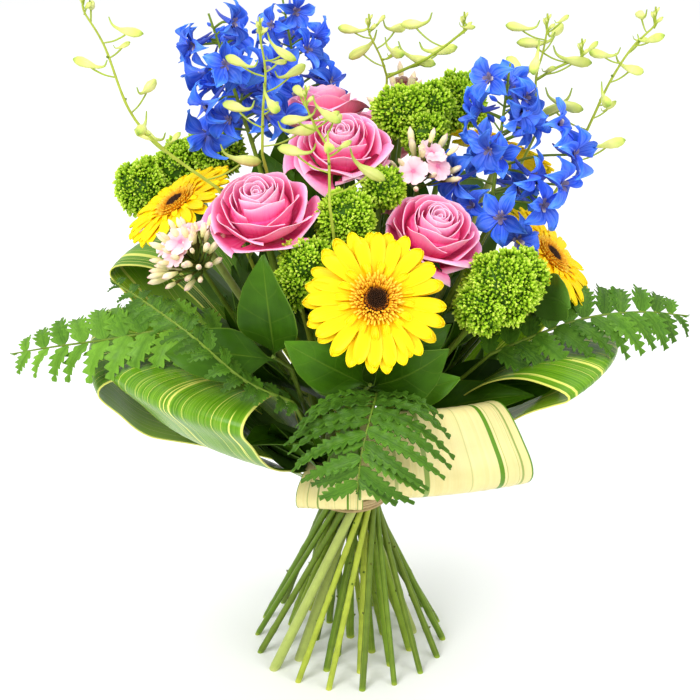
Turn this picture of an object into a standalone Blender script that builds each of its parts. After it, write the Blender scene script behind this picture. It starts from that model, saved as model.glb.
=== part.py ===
# A large hand-tied spiral bouquet that stands unheld on its splayed, cut stem ends.
# The origin is on the surface below the middle of the bunch, and the camera side of the bunch is -Y.
# Lengths are in millimetres up to the moment that a mesh is made.

import math
import random

import bmesh
import bpy
import numpy as np
from mathutils import Vector

for old in list(bpy.data.objects):
    bpy.data.objects.remove(old)


def material(name, colour, roughness, metallic=0.0):
    shade = bpy.data.materials.get(name)
    if shade is None:
        shade = bpy.data.materials.new(name)
        shade.use_nodes = True
        shader = shade.node_tree.nodes["Principled BSDF"]
        shader.inputs["Base Color"].default_value = (*colour, 1.0)
        shader.inputs["Roughness"].default_value = roughness
        shader.inputs["Metallic"].default_value = metallic
        shade.diffuse_color = (*colour, 1.0)
    return shade


# Materials
ROSE = material("rose_petal", (0.78, 0.10, 0.30), 0.55)
GREEN_STEM = material("green_stem", (0.16, 0.28, 0.07), 0.5)
GERBERA_RAY = material("gerbera_ray", (0.90, 0.55, 0.02), 0.5)
GERBERA_DISC = material("gerbera_disc", (0.06, 0.03, 0.02), 0.8)
GERBERA_STEM = material("gerbera_stem", (0.42, 0.55, 0.16), 0.5)
HEAD = material("lime_head", (0.36, 0.52, 0.12), 0.7)
DELPHINIUM = material("delphinium", (0.06, 0.14, 0.62), 0.5)
BUD_SPRAY = material("bud_spray", (0.62, 0.68, 0.28), 0.55)
PHLOX = material("phlox", (0.80, 0.55, 0.56), 0.55)
STRIPED_LEAF = material("striped_leaf", (0.14, 0.27, 0.08), 0.35)
CREAM_LEAF = material("cream_leaf", (0.70, 0.70, 0.38), 0.4)
FERN = material("fern", (0.10, 0.26, 0.05), 0.55)
BROAD_LEAF = material("broad_leaf", (0.04, 0.13, 0.03), 0.35)
TIE = material("tie", (0.55, 0.42, 0.24), 0.8)

# Driving dimensions of the bunch
MM = 0.001
UP = np.array([0.0, 0.0, 1.0])
WAIST_Z = 123.0
STRAIGHT_TOP_Z = 150.0
STEM_GAP = 0.5
NODE_GAP = 0.3
BLADE = 0.8

# Rings of stems: radius at the waist, radius of the cut ends, and the stems in the order of their azimuth
RINGS = (
    (0.0, 0.0, ("rose_top",)),
    (5.8, 24.0, ("bud_spray_left", "head_front", "phlox_right", "head_top", "rose_far", "delphinium_left")),
    (11.4, 45.0, ("gerbera_left", "bud_spray_far_left", "rose_left", "head_low", "bud_spray_front",
                  "rose_right", "delphinium_right", "gerbera_far_right", "head_far_right",
                  "bud_spray_fork", "rose_back", "delphinium_back")),
    (17.0, 66.0, ("fern_left", "phlox_left", "leafy_left", "fern_low_left", "gerbera_front", "fern_front",
                  "leafy_front", "head_right", "fern_right", "leafy_right", "gerbera_right",
                  "bud_spray_far_right", "bud_spray_right", "leafy_far_right", "fern_back", "phlox_back",
                  "leafy_far_left", "head_left")),
)
SPIRAL_SWING = math.radians(155)

# Blooms: middle of the bloom's base, direction it faces, and its radius
ROSES = {
    "rose_left": ((-52, -63, 334), (-0.12, -0.35, 0.93), 31),
    "rose_top": ((-6, -18, 361), (0.0, -0.42, 0.91), 28),
    "rose_far": ((-17, 40, 362), (-0.1, 0.28, 0.95), 27),
    "rose_right": ((47, -53, 319), (0.25, -0.40, 0.88), 28),
    "rose_back": ((15, 80, 330), (0.1, 0.66, 0.74), 28),
}
GERBERAS = {
    "gerbera_front": ((15, -116, 311), (0.12, -0.77, 0.63), 45),
    "gerbera_left": ((-108, -18, 334), (-0.52, -0.09, 0.85), 40),
    "gerbera_right": ((127, -14, 297), (0.70, -0.14, 0.70), 41),
    "gerbera_far_right": ((101, 62, 340), (0.38, 0.50, 0.78), 38),
}
HEADS = {
    "head_front": (((20, -43, 355), 12.5), ((-2, -68, 343), 18)),
    "head_low": (((-26, -90, 322), 16), ((-34, -98, 312), 12)),
    "head_top": (((31, 22, 382), 16), ((50, 35, 380), 16), ((47, 8, 372), 14)),
    "head_right": (((92, -76, 302), 22), ((80, -86, 294), 16), ((104, -66, 306), 16)),
    "head_left": (((-136, 44, 322), 19), ((-112, 55, 333), 18), ((-88, 54, 346), 18)),
    "head_far_right": (((72, 86, 368), 19), ((58, 98, 360), 16)),
}

# Delphinium spikes: foot and tip of the flowering part, its florets, and the turn of the first floret
DELPHINIUMS = {
    "delphinium_left": ((-62, 8, 366), (-86, 12, 444), 11, 0.6),
    "delphinium_right": ((88, -12, 318), (98, -8, 418), 12, 2.5),
    "delphinium_back": ((-30, 92, 350), (-44, 106, 428), 8, 1.0),
}
FLORET_RADIUS = 18.0
FLORET_STALK = 27.0

# Bud sprays: each is one or two branches, a list of points from the first bud's node to the tip
BUD_SPRAYS = {
    "bud_spray_far_left": (((-80, -44, 354), (-114, -42, 380), (-133, -40, 403), (-146, -40, 443),
                            (-157, -40, 464)),),
    "bud_spray_left": (((-54, -30, 372), (-53, -30, 400), (-51, -30, 424), (-54, -30, 446)),),
    "bud_spray_front": (((-12, -91, 362), (-13, -78, 390), (-20, -70, 402), (-26, -70, 416)),),
    "bud_spray_fork": (((24, 52, 396), (20, 48, 410), (12, 44, 428)),
                       ((24, 52, 396), (50, 42, 412), (72, 34, 432))),
    "bud_spray_right": (((120, 18, 372), (118, 26, 402), (122, 30, 418), (124, 30, 432)),
                        ((118, 26, 402), (132, 28, 410), (146, 26, 417))),
    "bud_spray_far_right": (((141, 28, 338), (155, 24, 377), (165, 22, 403), (177, 20, 425),
                             (190, 20, 439)),),
}
BUD_LENGTH = 15.0

# Phlox clusters: place of the top, direction, and flowers in the cluster
PHLOXES = {
    "phlox_left": ((-104, -84, 338), (-0.45, -0.45, 0.77), 4),
    "phlox_right": ((50, -27, 374), (0.3, -0.35, 0.9), 3),
    "phlox_back": ((38, 74, 389), (0.1, 0.5, 0.86), 3),
}

# Fern fronds: the midrib's points, the half width of the frond, and its leaflets a side
FERNS = {
    "fern_left": (((-78, -58, 262), (-112, -58, 266), (-150, -50, 256),
                   (-190, -36, 244), (-222, -22, 232)), 34, 6),
    "fern_low_left": (((-34, -124, 248), (-62, -133, 267), (-92, -128, 293),
                       (-120, -105, 304), (-146, -82, 311)), 20, 6),
    "fern_front": (((16, -116, 250), (14, -142, 256), (10, -160, 249),
                    (6, -171, 233), (4, -178, 214)), 58, 6),
    "fern_right": (((88, -60, 250), (118, -54, 261), (150, -42, 267),
                    (186, -26, 264), (222, -10, 254)), 36, 6),
    "fern_back": (((0, 102, 262), (3, 130, 266), (6, 154, 256),
                   (8, 171, 240), (8, 182, 220)), 50, 6),
}

# Leafy stems: points of the stem, then each leaf as its root along the last
# stretch, its tip, its half width and how far its middle bows
LEAFY_STEMS = {
    "leafy_left": (((-36, -96, 258), (-46, -110, 272)),
                   ((0.9, (-52, -122, 340), 19, 8), (0.6, (-112, -98, 268), 17, 8))),
    "leafy_front": (((8, -104, 246), (12, -116, 256)),
                    ((0.9, (-38, -134, 292), 16, 4), (0.7, (58, -122, 280), 17, 6),
                     (0.4, (62, -98, 286), 12, 5), (0.3, (-34, -92, 264), 12, 2),
                    (0.5, (66, -114, 259), 13, 2))),
    "leafy_right": (((94, -30, 266), (106, -36, 276)),
                    ((0.9, (134, -84, 292), 15, 6), (0.6, (142, 22, 274), 11, 4))),
    "leafy_far_right": (((70, 84, 262), (84, 100, 274)),
                        ((0.9, (132, 112, 298), 18, 7), (0.6, (76, 156, 296), 18, 7))),
    "leafy_far_left": (((-78, 54, 272), (-92, 64, 284)),
                       ((0.9, (-152, 80, 316), 18, 4), (0.6, (-102, 138, 308), 18, 5))),
}

# Leaf loops: azimuth of the middle, width at the fold, reach, height of the crest, depth of the fold, rise of
# the crest towards the right-hand end seen from outside, the radius and level of the end that is tucked
# inside, the leaf's section, and material
LOOPS = {
    "loop_front_left": (-135, 126, 163, 249, 46, 3, (57, 190), "rolled", STRIPED_LEAF),
    "loop_left": (-176, 106, 172, 236, 44, -4, (60, 186), "rolled", STRIPED_LEAF),
    "loop_far_left": (147, 108, 168, 272, 46, 0, (60, 186), "rolled", STRIPED_LEAF),
    "loop_back": (98, 118, 155, 236, 38, 0, (57, 182), "rolled", STRIPED_LEAF),
    "loop_far_right": (44, 118, 162, 240, 38, 0, (58, 178), "rolled", STRIPED_LEAF),
    "loop_right": (-22, 118, 176, 249, 27, -4, (60, 182), "rolled", STRIPED_LEAF),
    "loop_front_right": (-68, 117, 166, 244, 48, -6, (57, 172), "creased", CREAM_LEAF),
    "loop_small": (-103, 46, 64, 163, 26, 2, (36, 146), "creased", CREAM_LEAF),
}
# A section runs out, over and back in: each point's share of the reach, and its share of the fold below the crest
LOOP_SECTIONS = {
    "rolled": ((0.80, 1.0), (0.92, 0.52), (0.995, 0.18), (0.95, 0.0), (0.80, 0.02)),
    "creased": ((0.87, 1.0), (0.965, 0.93), (1.0, 0.72), (0.96, 0.42), (0.83, 0.02)),
}
RETURN_BOW = 11.0
LOOP_RING = 21.6


def unit(vector):
    vector = np.array(vector, dtype=float)
    return vector / np.linalg.norm(vector)


def sides_of(axis):
    """Two unit vectors square to an axis, the second as near to upright as it can be."""
    axis = unit(axis)
    guide = UP if abs(axis[2]) < 0.95 else np.array([0.0, 1.0, 0.0])
    across = unit(np.cross(guide, axis))
    return across, np.cross(axis, across)


def curve_points(start, start_pull, end_pull, end, count):
    """Points along a cubic curve, without its first point."""
    points = []
    for step in range(1, count + 1):
        t = step / count
        weights = ((1 - t) ** 3, 3 * t * (1 - t) ** 2, 3 * t * t * (1 - t), t ** 3)
        points.append(weights[0] * start + weights[1] * start_pull + weights[2] * end_pull + weights[3] * end)
    return points


def tube(path, radii, sides, cut_flat=False):
    """A closed tube through a path; a radius of 0 at its end makes a point there."""
    path = [np.array(point, dtype=float) for point in path]
    verts = []
    faces = []
    across = None
    rings = []
    for index, point in enumerate(path):
        before = path[max(index - 1, 0)]
        after = path[min(index + 1, len(path) - 1)]
        along = unit(after - before)
        if across is None:
            across = sides_of(along)[0]
        across = unit(across - along * np.dot(across, along))
        other = np.cross(along, across)
        if radii[index] == 0:
            rings.append([len(verts)])
            verts.append(point)
            continue
        ring = []
        for side in range(sides):
            turn = 2 * math.pi * side / sides
            corner = point + radii[index] * (math.cos(turn) * across + math.sin(turn) * other)
            if cut_flat and index == 0:
                corner = corner - along * (corner[2] - point[2]) / along[2]
            ring.append(len(verts))
            verts.append(corner)
        rings.append(ring)
    for low, high in zip(rings, rings[1:]):
        for side in range(sides):
            nxt = (side + 1) % sides
            if len(low) == 1:
                faces.append((low[0], high[nxt], high[side]))
            elif len(high) == 1:
                faces.append((low[side], low[nxt], high[0]))
            else:
                faces.append((low[side], low[nxt], high[nxt]))
                faces.append((low[side], high[nxt], high[side]))
    if len(rings[0]) > 1:
        faces.append(tuple(reversed(rings[0])))
    if len(rings[-1]) > 1:
        faces.append(tuple(rings[-1]))
    return verts, faces


def rows_to_triangles(rows):
    """Points and triangles of a surface whose rows are equally long or single points."""
    points = [point for row in rows for point in row]
    starts = np.cumsum([0] + [len(row) for row in rows])
    triangles = []
    for index in range(len(rows) - 1):
        low = [starts[index] + step for step in range(len(rows[index]))]
        high = [starts[index + 1] + step for step in range(len(rows[index + 1]))]
        if len(low) == 1:
            low = low * len(high)
        if len(high) == 1:
            high = high * len(low)
        for step in range(len(low) - 1):
            if low[step] != low[step + 1]:
                triangles.append((low[step], low[step + 1], high[step + 1]))
            if high[step] != high[step + 1]:
                triangles.append((low[step], high[step + 1], high[step]))
    return points, triangles


def blade(points, triangles, thickness=BLADE):
    """A thin closed blade, split into the same triangles on both of its faces."""
    points = np.array(points, dtype=float)
    normals = np.zeros_like(points)
    for triangle in triangles:
        first, second, third = points[list(triangle)]
        normal = np.cross(second - first, third - first)
        for corner in triangle:
            normals[corner] += normal
    normals /= np.linalg.norm(normals, axis=1)[:, None]
    count = len(points)
    verts = list(points + normals * thickness / 2) + list(points - normals * thickness / 2)
    faces = [tuple(triangle) for triangle in triangles]
    faces += [(third + count, second + count, first + count) for first, second, third in triangles]
    edges = {(a, b) for t in triangles for a, b in zip(t, t[1:] + t[:1])}
    for a, b in sorted(edges):
        if (b, a) not in edges:
            faces.append((b, a, a + count))
            faces.append((b, a + count, b + count))
    return verts, faces


def placed(piece, place, axis, turn=0.0):
    """A piece made round +Z, set down at a place with its +Z along an axis."""
    across, other = sides_of(axis)
    axis = unit(axis)
    first = math.cos(turn) * across + math.sin(turn) * other
    second = math.cos(turn) * other - math.sin(turn) * across
    verts, faces = piece
    place = np.array(place, dtype=float)
    return [place + v[0] * first + v[1] * second + v[2] * axis for v in verts], faces


def mesh_object(name, piece, shade=None):
    verts, faces = piece
    mesh = bpy.data.meshes.new(name)
    mesh.from_pydata([Vector(v) * MM for v in verts], [], faces)
    shaped = bmesh.new()
    shaped.from_mesh(mesh)
    bmesh.ops.triangulate(shaped, faces=shaped.faces)
    shaped.to_mesh(mesh)
    shaped.free()
    result = bpy.data.objects.new(name, mesh)
    bpy.context.scene.collection.objects.link(result)
    if shade:
        mesh.materials.append(shade)
    return result


def fused(name, pieces, shade):
    """One node: its pieces joined by one Boolean union, which is applied."""
    whole = mesh_object(name, pieces[0], shade)
    if len(pieces) > 1:
        group = bpy.data.collections.new(name + "_pieces")
        bpy.context.scene.collection.children.link(group)
        loose = []
        for number, piece in enumerate(pieces[1:]):
            part = mesh_object(f"{name}_piece_{number}", piece)
            bpy.context.scene.collection.objects.unlink(part)
            group.objects.link(part)
            loose.append(part)
        union = whole.modifiers.new("union", "BOOLEAN")
        union.operation = "UNION"
        union.operand_type = "COLLECTION"
        union.collection = group
        union.solver = "MANIFOLD"
        bpy.context.view_layer.update()
        depsgraph = bpy.context.evaluated_depsgraph_get()
        joined = bpy.data.meshes.new_from_object(whole.evaluated_get(depsgraph), depsgraph=depsgraph)
        whole.modifiers.clear()
        whole.data = joined
        joined.name = name
        for part in loose:
            bpy.data.objects.remove(part)
        bpy.data.collections.remove(group)
        joined.materials.clear()
        joined.materials.append(shade)
    whole.data.shade_smooth()
    whole.data.set_sharp_from_angle(angle=math.radians(40))
    return whole


# Where the stems run
class Stem:
    """A stem from its cut end through the waist to its top, with a radius at each point."""

    def __init__(self, name, top, facing, radii, sides, curve_steps=4):
        self.name = name
        self.top = np.array(top, dtype=float)
        self.facing = unit(facing)
        self.cut_radius, self.waist_radius, self.top_radius = radii
        self.sides = sides
        self.curve_steps = curve_steps
        self.points = []

    def lay(self, ring_radius, foot_radius, foot_azimuth):
        foot = foot_radius * np.array([math.cos(foot_azimuth), math.sin(foot_azimuth), 0.0])
        swing = math.acos(ring_radius / foot_radius) if foot_radius else 0.0
        waist_azimuth = foot_azimuth + swing
        waist = ring_radius * np.array([math.cos(waist_azimuth), math.sin(waist_azimuth), 0.0]) + UP * WAIST_Z
        rise = (waist - foot) / WAIST_Z
        straight_top = waist + rise * (STRAIGHT_TOP_Z - WAIST_Z)
        reach = np.linalg.norm(self.top - straight_top)
        start_pull = straight_top + unit(rise) * reach * 0.38
        end_pull = self.top - self.facing * reach * 0.30
        curve = curve_points(straight_top, start_pull, end_pull, self.top, self.curve_steps)
        self.points = [foot, waist, straight_top] + curve

    def radii(self):
        rise = np.linspace(0, 1, len(self.points) - 2)
        upper = self.waist_radius + (self.top_radius - self.waist_radius) * rise
        return [self.cut_radius, self.waist_radius] + list(upper)

    def piece(self, extra_points=(), extra_radii=()):
        path = list(self.points) + list(extra_points)
        return tube(path, self.radii() + list(extra_radii), self.sides, cut_flat=True)


def nearest_on_segments(start_a, end_a, start_b, end_b):
    """Where two segments pass closest, as a share of each, for arrays of segments."""
    along_a = end_a - start_a
    along_b = end_b - start_b
    apart = start_a - start_b
    aa = (along_a ** 2).sum(1) + 1e-9
    bb = (along_b ** 2).sum(1) + 1e-9
    ab = (along_a * along_b).sum(1)
    ar = (along_a * apart).sum(1)
    br = (along_b * apart).sum(1)
    share_a = np.clip((ab * br - ar * bb) / np.maximum(aa * bb - ab * ab, 1e-6), 0, 1)
    share_b = np.clip((ab * share_a + br) / bb, 0, 1)
    share_a = np.clip((ab * share_b - ar) / aa, 0, 1)
    return share_a, share_b


def settle(stems, balls, rounds=400):
    """Pushes stems apart above the waist, and off the blooms, as the stems in a real bunch do."""
    points = []
    radius = []
    loose = []
    first = []
    second = []
    owner = []
    for number, stem in enumerate(stems):
        start = len(points)
        points += list(stem.points)
        radius += stem.radii()
        count = len(stem.points)
        loose += [3 <= index <= count - 2 for index in range(count)]
        for index in range(1, count - 1):
            first.append(start + index)
            second.append(start + index + 1)
            owner.append(number)
    points = np.array(points)
    radius = np.array(radius)
    loose = np.array(loose)
    first, second, owner = np.array(first), np.array(second), np.array(owner)
    thick = np.maximum(radius[first], radius[second])
    pair_a, pair_b = np.triu_indices(len(first), 1)
    other = owner[pair_a] != owner[pair_b]
    pair_a, pair_b = pair_a[other], pair_b[other]
    need = thick[pair_a] + thick[pair_b] + STEM_GAP
    ball_middle = np.array([ball[1] for ball in balls], dtype=float)
    ball_radius = np.array([ball[2] for ball in balls], dtype=float)
    names = [stem.name for stem in stems]
    ball_owner = np.array([names.index(ball[0]) if ball[0] in names else -1 for ball in balls])
    seg, ball = np.meshgrid(np.arange(len(first)), np.arange(len(balls)), indexing="ij")
    seg, ball = seg.ravel(), ball.ravel()
    foreign = owner[seg] != ball_owner[ball]
    seg, ball = seg[foreign], ball[foreign]
    inner = np.flatnonzero(loose)
    for _ in range(rounds):
        move = np.zeros_like(points)
        weight = np.zeros(len(points))
        a0, a1 = points[first[pair_a]], points[second[pair_a]]
        b0, b1 = points[first[pair_b]], points[second[pair_b]]
        share_a, share_b = nearest_on_segments(a0, a1, b0, b1)
        near_a = a0 + (a1 - a0) * share_a[:, None]
        near_b = b0 + (b1 - b0) * share_b[:, None]
        apart = near_a - near_b
        distance = np.linalg.norm(apart, axis=1) + 1e-9
        close = np.flatnonzero(distance < need)
        push = apart[close] / distance[close][:, None] * ((need[close] - distance[close]) * 0.6)[:, None]
        for pair, share, sign in ((pair_a[close], share_a[close], 1), (pair_b[close], share_b[close], -1)):
            for ends, part in ((first[pair], 1 - share), (second[pair], share)):
                np.add.at(move, ends, sign * push * part[:, None])
                np.add.at(weight, ends, part)
        s0, s1 = points[first[seg]], points[second[seg]]
        length_squared = ((s1 - s0) ** 2).sum(1) + 1e-9
        share = np.clip(((ball_middle[ball] - s0) * (s1 - s0)).sum(1) / length_squared, 0, 1)
        near = s0 + (s1 - s0) * share[:, None]
        apart = near - ball_middle[ball]
        distance = np.linalg.norm(apart, axis=1) + 1e-9
        wanted = ball_radius[ball] + thick[seg] + STEM_GAP
        hit = np.flatnonzero(distance < wanted)
        push = apart[hit] / distance[hit][:, None] * (wanted[hit] - distance[hit])[:, None]
        for ends, part in ((first[seg[hit]], 1 - share[hit]), (second[seg[hit]], share[hit])):
            np.add.at(move, ends, push * part[:, None])
            np.add.at(weight, ends, part)
        move /= np.maximum(weight, 1)[:, None]
        points[loose] += move[loose]
        points[inner] += 0.03 * ((points[inner - 1] + points[inner + 1]) / 2 - points[inner])
    start = 0
    for stem in stems:
        stem.points = list(points[start:start + len(stem.points)])
        start += len(stem.points)


def bunch_stems():
    """Every stem with the place and direction of its top: sizes are cut, waist and top radius."""
    stems = {}
    for name, (place, facing, _) in ROSES.items():
        stems[name] = Stem(name, np.array(place) - unit(facing) * 4.0, facing, (2.9, 2.5, 2.3), 5)
    for name, (place, facing, _) in GERBERAS.items():
        stems[name] = Stem(name, np.array(place) - unit(facing) * 7.0, facing, (3.6, 2.5, 2.4), 5)
    for name, lobes in HEADS.items():
        middle = np.array(lobes[0][0], dtype=float)
        outward = unit(middle - np.array([0, 0, WAIST_Z]))
        stems[name] = Stem(name, middle - outward * (lobes[0][1] - 6), outward, (2.4, 2.2, 2.0), 5)
    for name, (foot, tip, _, _) in DELPHINIUMS.items():
        stems[name] = Stem(name, foot, np.subtract(tip, foot), (2.7, 2.4, 2.0), 6)
    for name, spray in BUD_SPRAYS.items():
        stems[name] = Stem(name, spray[0][0], np.subtract(spray[0][1], spray[0][0]), (2.1, 1.9, 1.2), 4)
    for name, (place, facing, _) in PHLOXES.items():
        stems[name] = Stem(name, np.array(place) - unit(facing) * 22, facing, (2.1, 2.0, 1.4), 4)
    for name, (path, _, _) in FERNS.items():
        stems[name] = Stem(name, path[0], np.subtract(path[1], path[0]), (2.0, 1.8, 1.3), 4)
    for name, (path, _) in LEAFY_STEMS.items():
        stems[name] = Stem(name, path[0], np.subtract(path[1], path[0]), (2.3, 2.1, 1.6), 5)
    return stems


def rose(name, place, facing, radius):
    """Whorls of five petals, one cup within another, with petals that lap over the next at their edges.
    Each whorl is its rim radius, rim height, and the radius and height of the valley outside it."""
    whorls = ((0.12, 1.20, 0.19, 0.86), (0.31, 1.22, 0.38, 0.72), (0.52, 1.14, 0.57, 0.54),
              (0.76, 0.98, 0.76, 0.38), (1.02, 0.62, 0.78, 0.34))
    wall = 0.9 / radius
    rings = []
    for layer, (rim, height, valley, floor) in enumerate(whorls):
        turn = layer * 0.5
        if layer > 2:
            rings.append((rim - wall, height, turn, 1.0))
        rings.append((rim, height - wall, turn, 1.0))
        rings.append((valley, floor, turn + 0.25, 0.2))
    rings += [(0.34, 0.09, 2.4, 0.0), (0.12, 0.0, 2.4, 0.0)]
    verts = [(0.0, 0.0, radius * 1.12)]
    faces = []
    columns = [(number, u) for number in range(5) for u in (-1.0, 0.0, 1.0)]
    for reach, level, turn, shape in rings:
        for number, u in columns:
            angle = 2 * math.pi * number / 5 + 0.56 * u + turn
            out = radius * reach * (1 + shape * (0.06 * u + 0.05 * (1 - u * u)))
            rise = radius * (level - 0.11 * shape * u * u)
            verts.append((out * math.cos(angle), out * math.sin(angle), rise))
    count = len(columns)
    faces += [(0, 1 + side, 1 + (side + 1) % count) for side in range(count)]
    for ring in range(len(rings) - 1):
        for side in range(count):
            nxt = (side + 1) % count
            low, high = 1 + ring * count, 1 + (ring + 1) * count
            faces += [(low + side, high + side, high + nxt), (low + side, high + nxt, low + nxt)]
    last = 1 + (len(rings) - 1) * count
    faces.append(tuple(last + side for side in reversed(range(count))))
    fused(name + "_petals", [placed((verts, faces), place, facing)], ROSE)


def rose_stem(stem):
    """The stem swells into the calyx, with a star of five sepals turned down below the petals."""
    axis = stem.facing
    swell = [stem.top + axis * (4.0 - NODE_GAP)]
    points = [(0.0, 0.0, 1.6)]
    triangles = []
    for number in range(5):
        turn = 2 * math.pi * number / 5
        points.append((5.2 * math.cos(turn), 5.2 * math.sin(turn), 1.4))
        points.append((17.0 * math.cos(turn + 0.628), 17.0 * math.sin(turn + 0.628), -4.5))
    for number in range(5):
        start = 1 + 2 * number
        following = 1 + 2 * ((number + 1) % 5)
        triangles += [(0, start, following), (start, start + 1, following)]
    sepals = placed(blade(points, triangles), stem.top, axis)
    fused(stem.name + "_stem", [stem.piece(swell, [5.0]), sepals], GREEN_STEM)


def gerbera(name, place, facing, radius, rays=20):
    """A star of rays round a thin hub, with the disc as a node of its own above the hub."""
    points = [(0.0, 0.0, 0.0)]
    triangles = []
    hub = radius * 0.30
    for number in range(rays):
        middle = 2 * math.pi * number / rays
        lift = 1.5 if number % 2 else -1.5
        step = math.pi / rays
        for share, angle, height in ((0.30, middle - step, 0.0), (0.72, middle - step * 0.93, 3.0 + lift),
                                     (0.72, middle + step * 0.93, 3.0 + lift), (1.0, middle, 1.0 + lift)):
            reach = radius * share
            points.append((reach * math.cos(angle), reach * math.sin(angle), height))
    for number in range(rays):
        start = 1 + 4 * number
        following = 1 + 4 * ((number + 1) % rays)
        triangles += [(0, start, following), (start, start + 1, start + 2), (start, start + 2, following),
                      (start + 1, start + 3, start + 2)]
    fused(name + "_rays", [placed(blade(points, triangles), place, facing)], GERBERA_RAY)
    base = BLADE / 2 + NODE_GAP
    rings = ((hub * 0.95, base), (hub * 1.02, base + 2.4), (hub * 0.78, base + 4.4), (hub * 0.42, base + 4.0))
    verts = []
    faces = []
    sides = 12
    for ring, (reach, height) in enumerate(rings):
        for side in range(sides):
            bump = 0.9 if (side + ring) % 2 and ring else 0.0
            angle = 2 * math.pi * side / sides
            verts.append((reach * math.cos(angle), reach * math.sin(angle), height + bump))
    for ring in range(len(rings) - 1):
        for side in range(sides):
            nxt = (side + 1) % sides
            low, high = ring * sides, (ring + 1) * sides
            faces += [(low + side, low + nxt, high + nxt), (low + side, high + nxt, high + side)]
    verts.append((0.0, 0.0, base + 4.8))
    top = (len(rings) - 1) * sides
    faces += [(top + side, top + (side + 1) % sides, len(verts) - 1) for side in range(sides)]
    faces.append(tuple(reversed(range(sides))))
    fused(name + "_disc", [placed((verts, faces), place, facing)], GERBERA_DISC)


def gerbera_stem(stem):
    axis = stem.facing
    swell = [stem.top + axis * 2.5, stem.top + axis * (7.0 - BLADE / 2 - NODE_GAP)]
    fused(stem.name + "_stem", [stem.piece(swell, [4.5, 8.5])], GERBERA_STEM)


def reach_of_lobes(middle, direction, lobes):
    """How far a ray from the middle goes before it leaves the last of the lobes."""
    reach = 0.0
    for place, radius in lobes:
        offset = np.array(place, dtype=float) - middle
        along = np.dot(offset, direction)
        inside = radius ** 2 - np.dot(offset, offset) + along ** 2
        if inside > 0:
            reach = max(reach, along + math.sqrt(inside))
    return reach


def green_head(stem, lobes):
    """A dense head: its lobes covered by buds in relief, every other point raised and the rest sunk."""
    middle = sum(np.array(place, dtype=float) for place, _ in lobes) / len(lobes)
    columns, bands = (14, 10) if lobes[0][1] > 20 else (12, 9)
    buds = [[]]
    directions = [(0.0, 0.0, -1.0)]
    for band in range(1, bands):
        tilt = math.pi * band / bands
        for column in range(columns):
            turn = 2 * math.pi * column / columns
            across = math.sin(tilt)
            directions.append((across * math.cos(turn), across * math.sin(turn), -math.cos(tilt)))
            buds.append((band, column))
    directions.append((0.0, 0.0, 1.0))
    buds.append([])
    verts = []
    for direction, bud in zip(directions, buds):
        relief = 1.6 if bud and sum(bud) % 2 == 0 else -1.8
        direction = np.array(direction)
        verts.append(middle + direction * (reach_of_lobes(middle, direction, lobes) + relief))
    faces = []
    top = len(verts) - 1
    for column in range(columns):
        nxt = (column + 1) % columns
        faces.append((0, 1 + nxt, 1 + column))
        faces.append((top, top - columns + column, top - columns + nxt))
        for band in range(1, bands - 1):
            low, high = 1 + (band - 1) * columns, 1 + band * columns
            a, b, c, d = low + column, low + nxt, high + nxt, high + column
            faces += [(a, b, c), (a, c, d)] if (band + column) % 2 else [(a, b, d), (b, c, d)]
    fused(stem.name, [(verts, faces), stem.piece()], HEAD)


def trumpet(radius, notch, tips, cup, stalk, stalk_radius):
    """A flower of five lobes, each with its tips at these angles, made as one body with its stalk below."""
    half = BLADE / 2
    upper = [(0.0, 0.0, half)]
    lower = []
    for number in range(5):
        middle = 2 * math.pi * number / 5
        for share, offset, height in [(notch, -math.pi / 5, 0.3)] + [(0.96, tip, 1.0) for tip in tips]:
            x = radius * share * math.cos(middle + offset)
            y = radius * share * math.sin(middle + offset)
            upper.append((x, y, cup * radius * height + half))
            lower.append((x, y, cup * radius * height - half))
    base = []
    for number in range(5):
        turn = 2 * math.pi * number / 5 - math.pi / 5
        base.append((stalk_radius * math.cos(turn), stalk_radius * math.sin(turn), -stalk))
    verts = upper + lower + base
    faces = []
    below = len(lower)
    ring = len(upper) + below
    corners = 1 + len(tips)
    for number in range(5):
        start = 1 + corners * number
        following = 1 + corners * ((number + 1) % 5)
        rim = list(range(start, start + corners)) + [following]
        faces.append((0, start, following))
        for one, two in zip(rim[1:], rim[2:]):
            faces += [(start, one, two), (start + below, two + below, one + below)]
        for one, two in zip(rim, rim[1:]):
            faces += [(two, one, one + below), (two, one + below, two + below)]
        foot, next_foot = ring + number, ring + (number + 1) % 5
        faces += [(foot, next_foot, following + below), (foot, following + below, start + below)]
    faces.append(tuple(range(ring + 4, ring - 1, -1)))
    return verts, faces


def delphinium(stem, tip, florets, first_turn):
    """Florets face outward round the spike, each on a short stalk, smaller towards the tip."""
    tip = np.array(tip, dtype=float)
    foot = stem.top
    rise = tip - foot
    across, other = sides_of(rise)
    pieces = [stem.piece([foot + rise * 0.5, tip + unit(rise) * 6], [1.5, 0.8])]
    for number in range(florets):
        share = number / (florets - 1)
        turn = first_turn + number * 2.4
        outward = math.cos(turn) * across + math.sin(turn) * other
        size = FLORET_RADIUS * (1.0 - 0.25 * share)
        root = foot + rise * (share * 0.92 + 0.02)
        facing = unit(outward + 0.15 * unit(rise))
        stalk = FLORET_STALK * (1.0 - 0.45 * share)
        floret = trumpet(size, 0.48, (0.0,), 0.22, stalk, 0.9)
        pieces.append(placed(floret, root + facing * stalk, facing, number * 1.1))
    fused(stem.name, pieces, DELPHINIUM)


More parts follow.
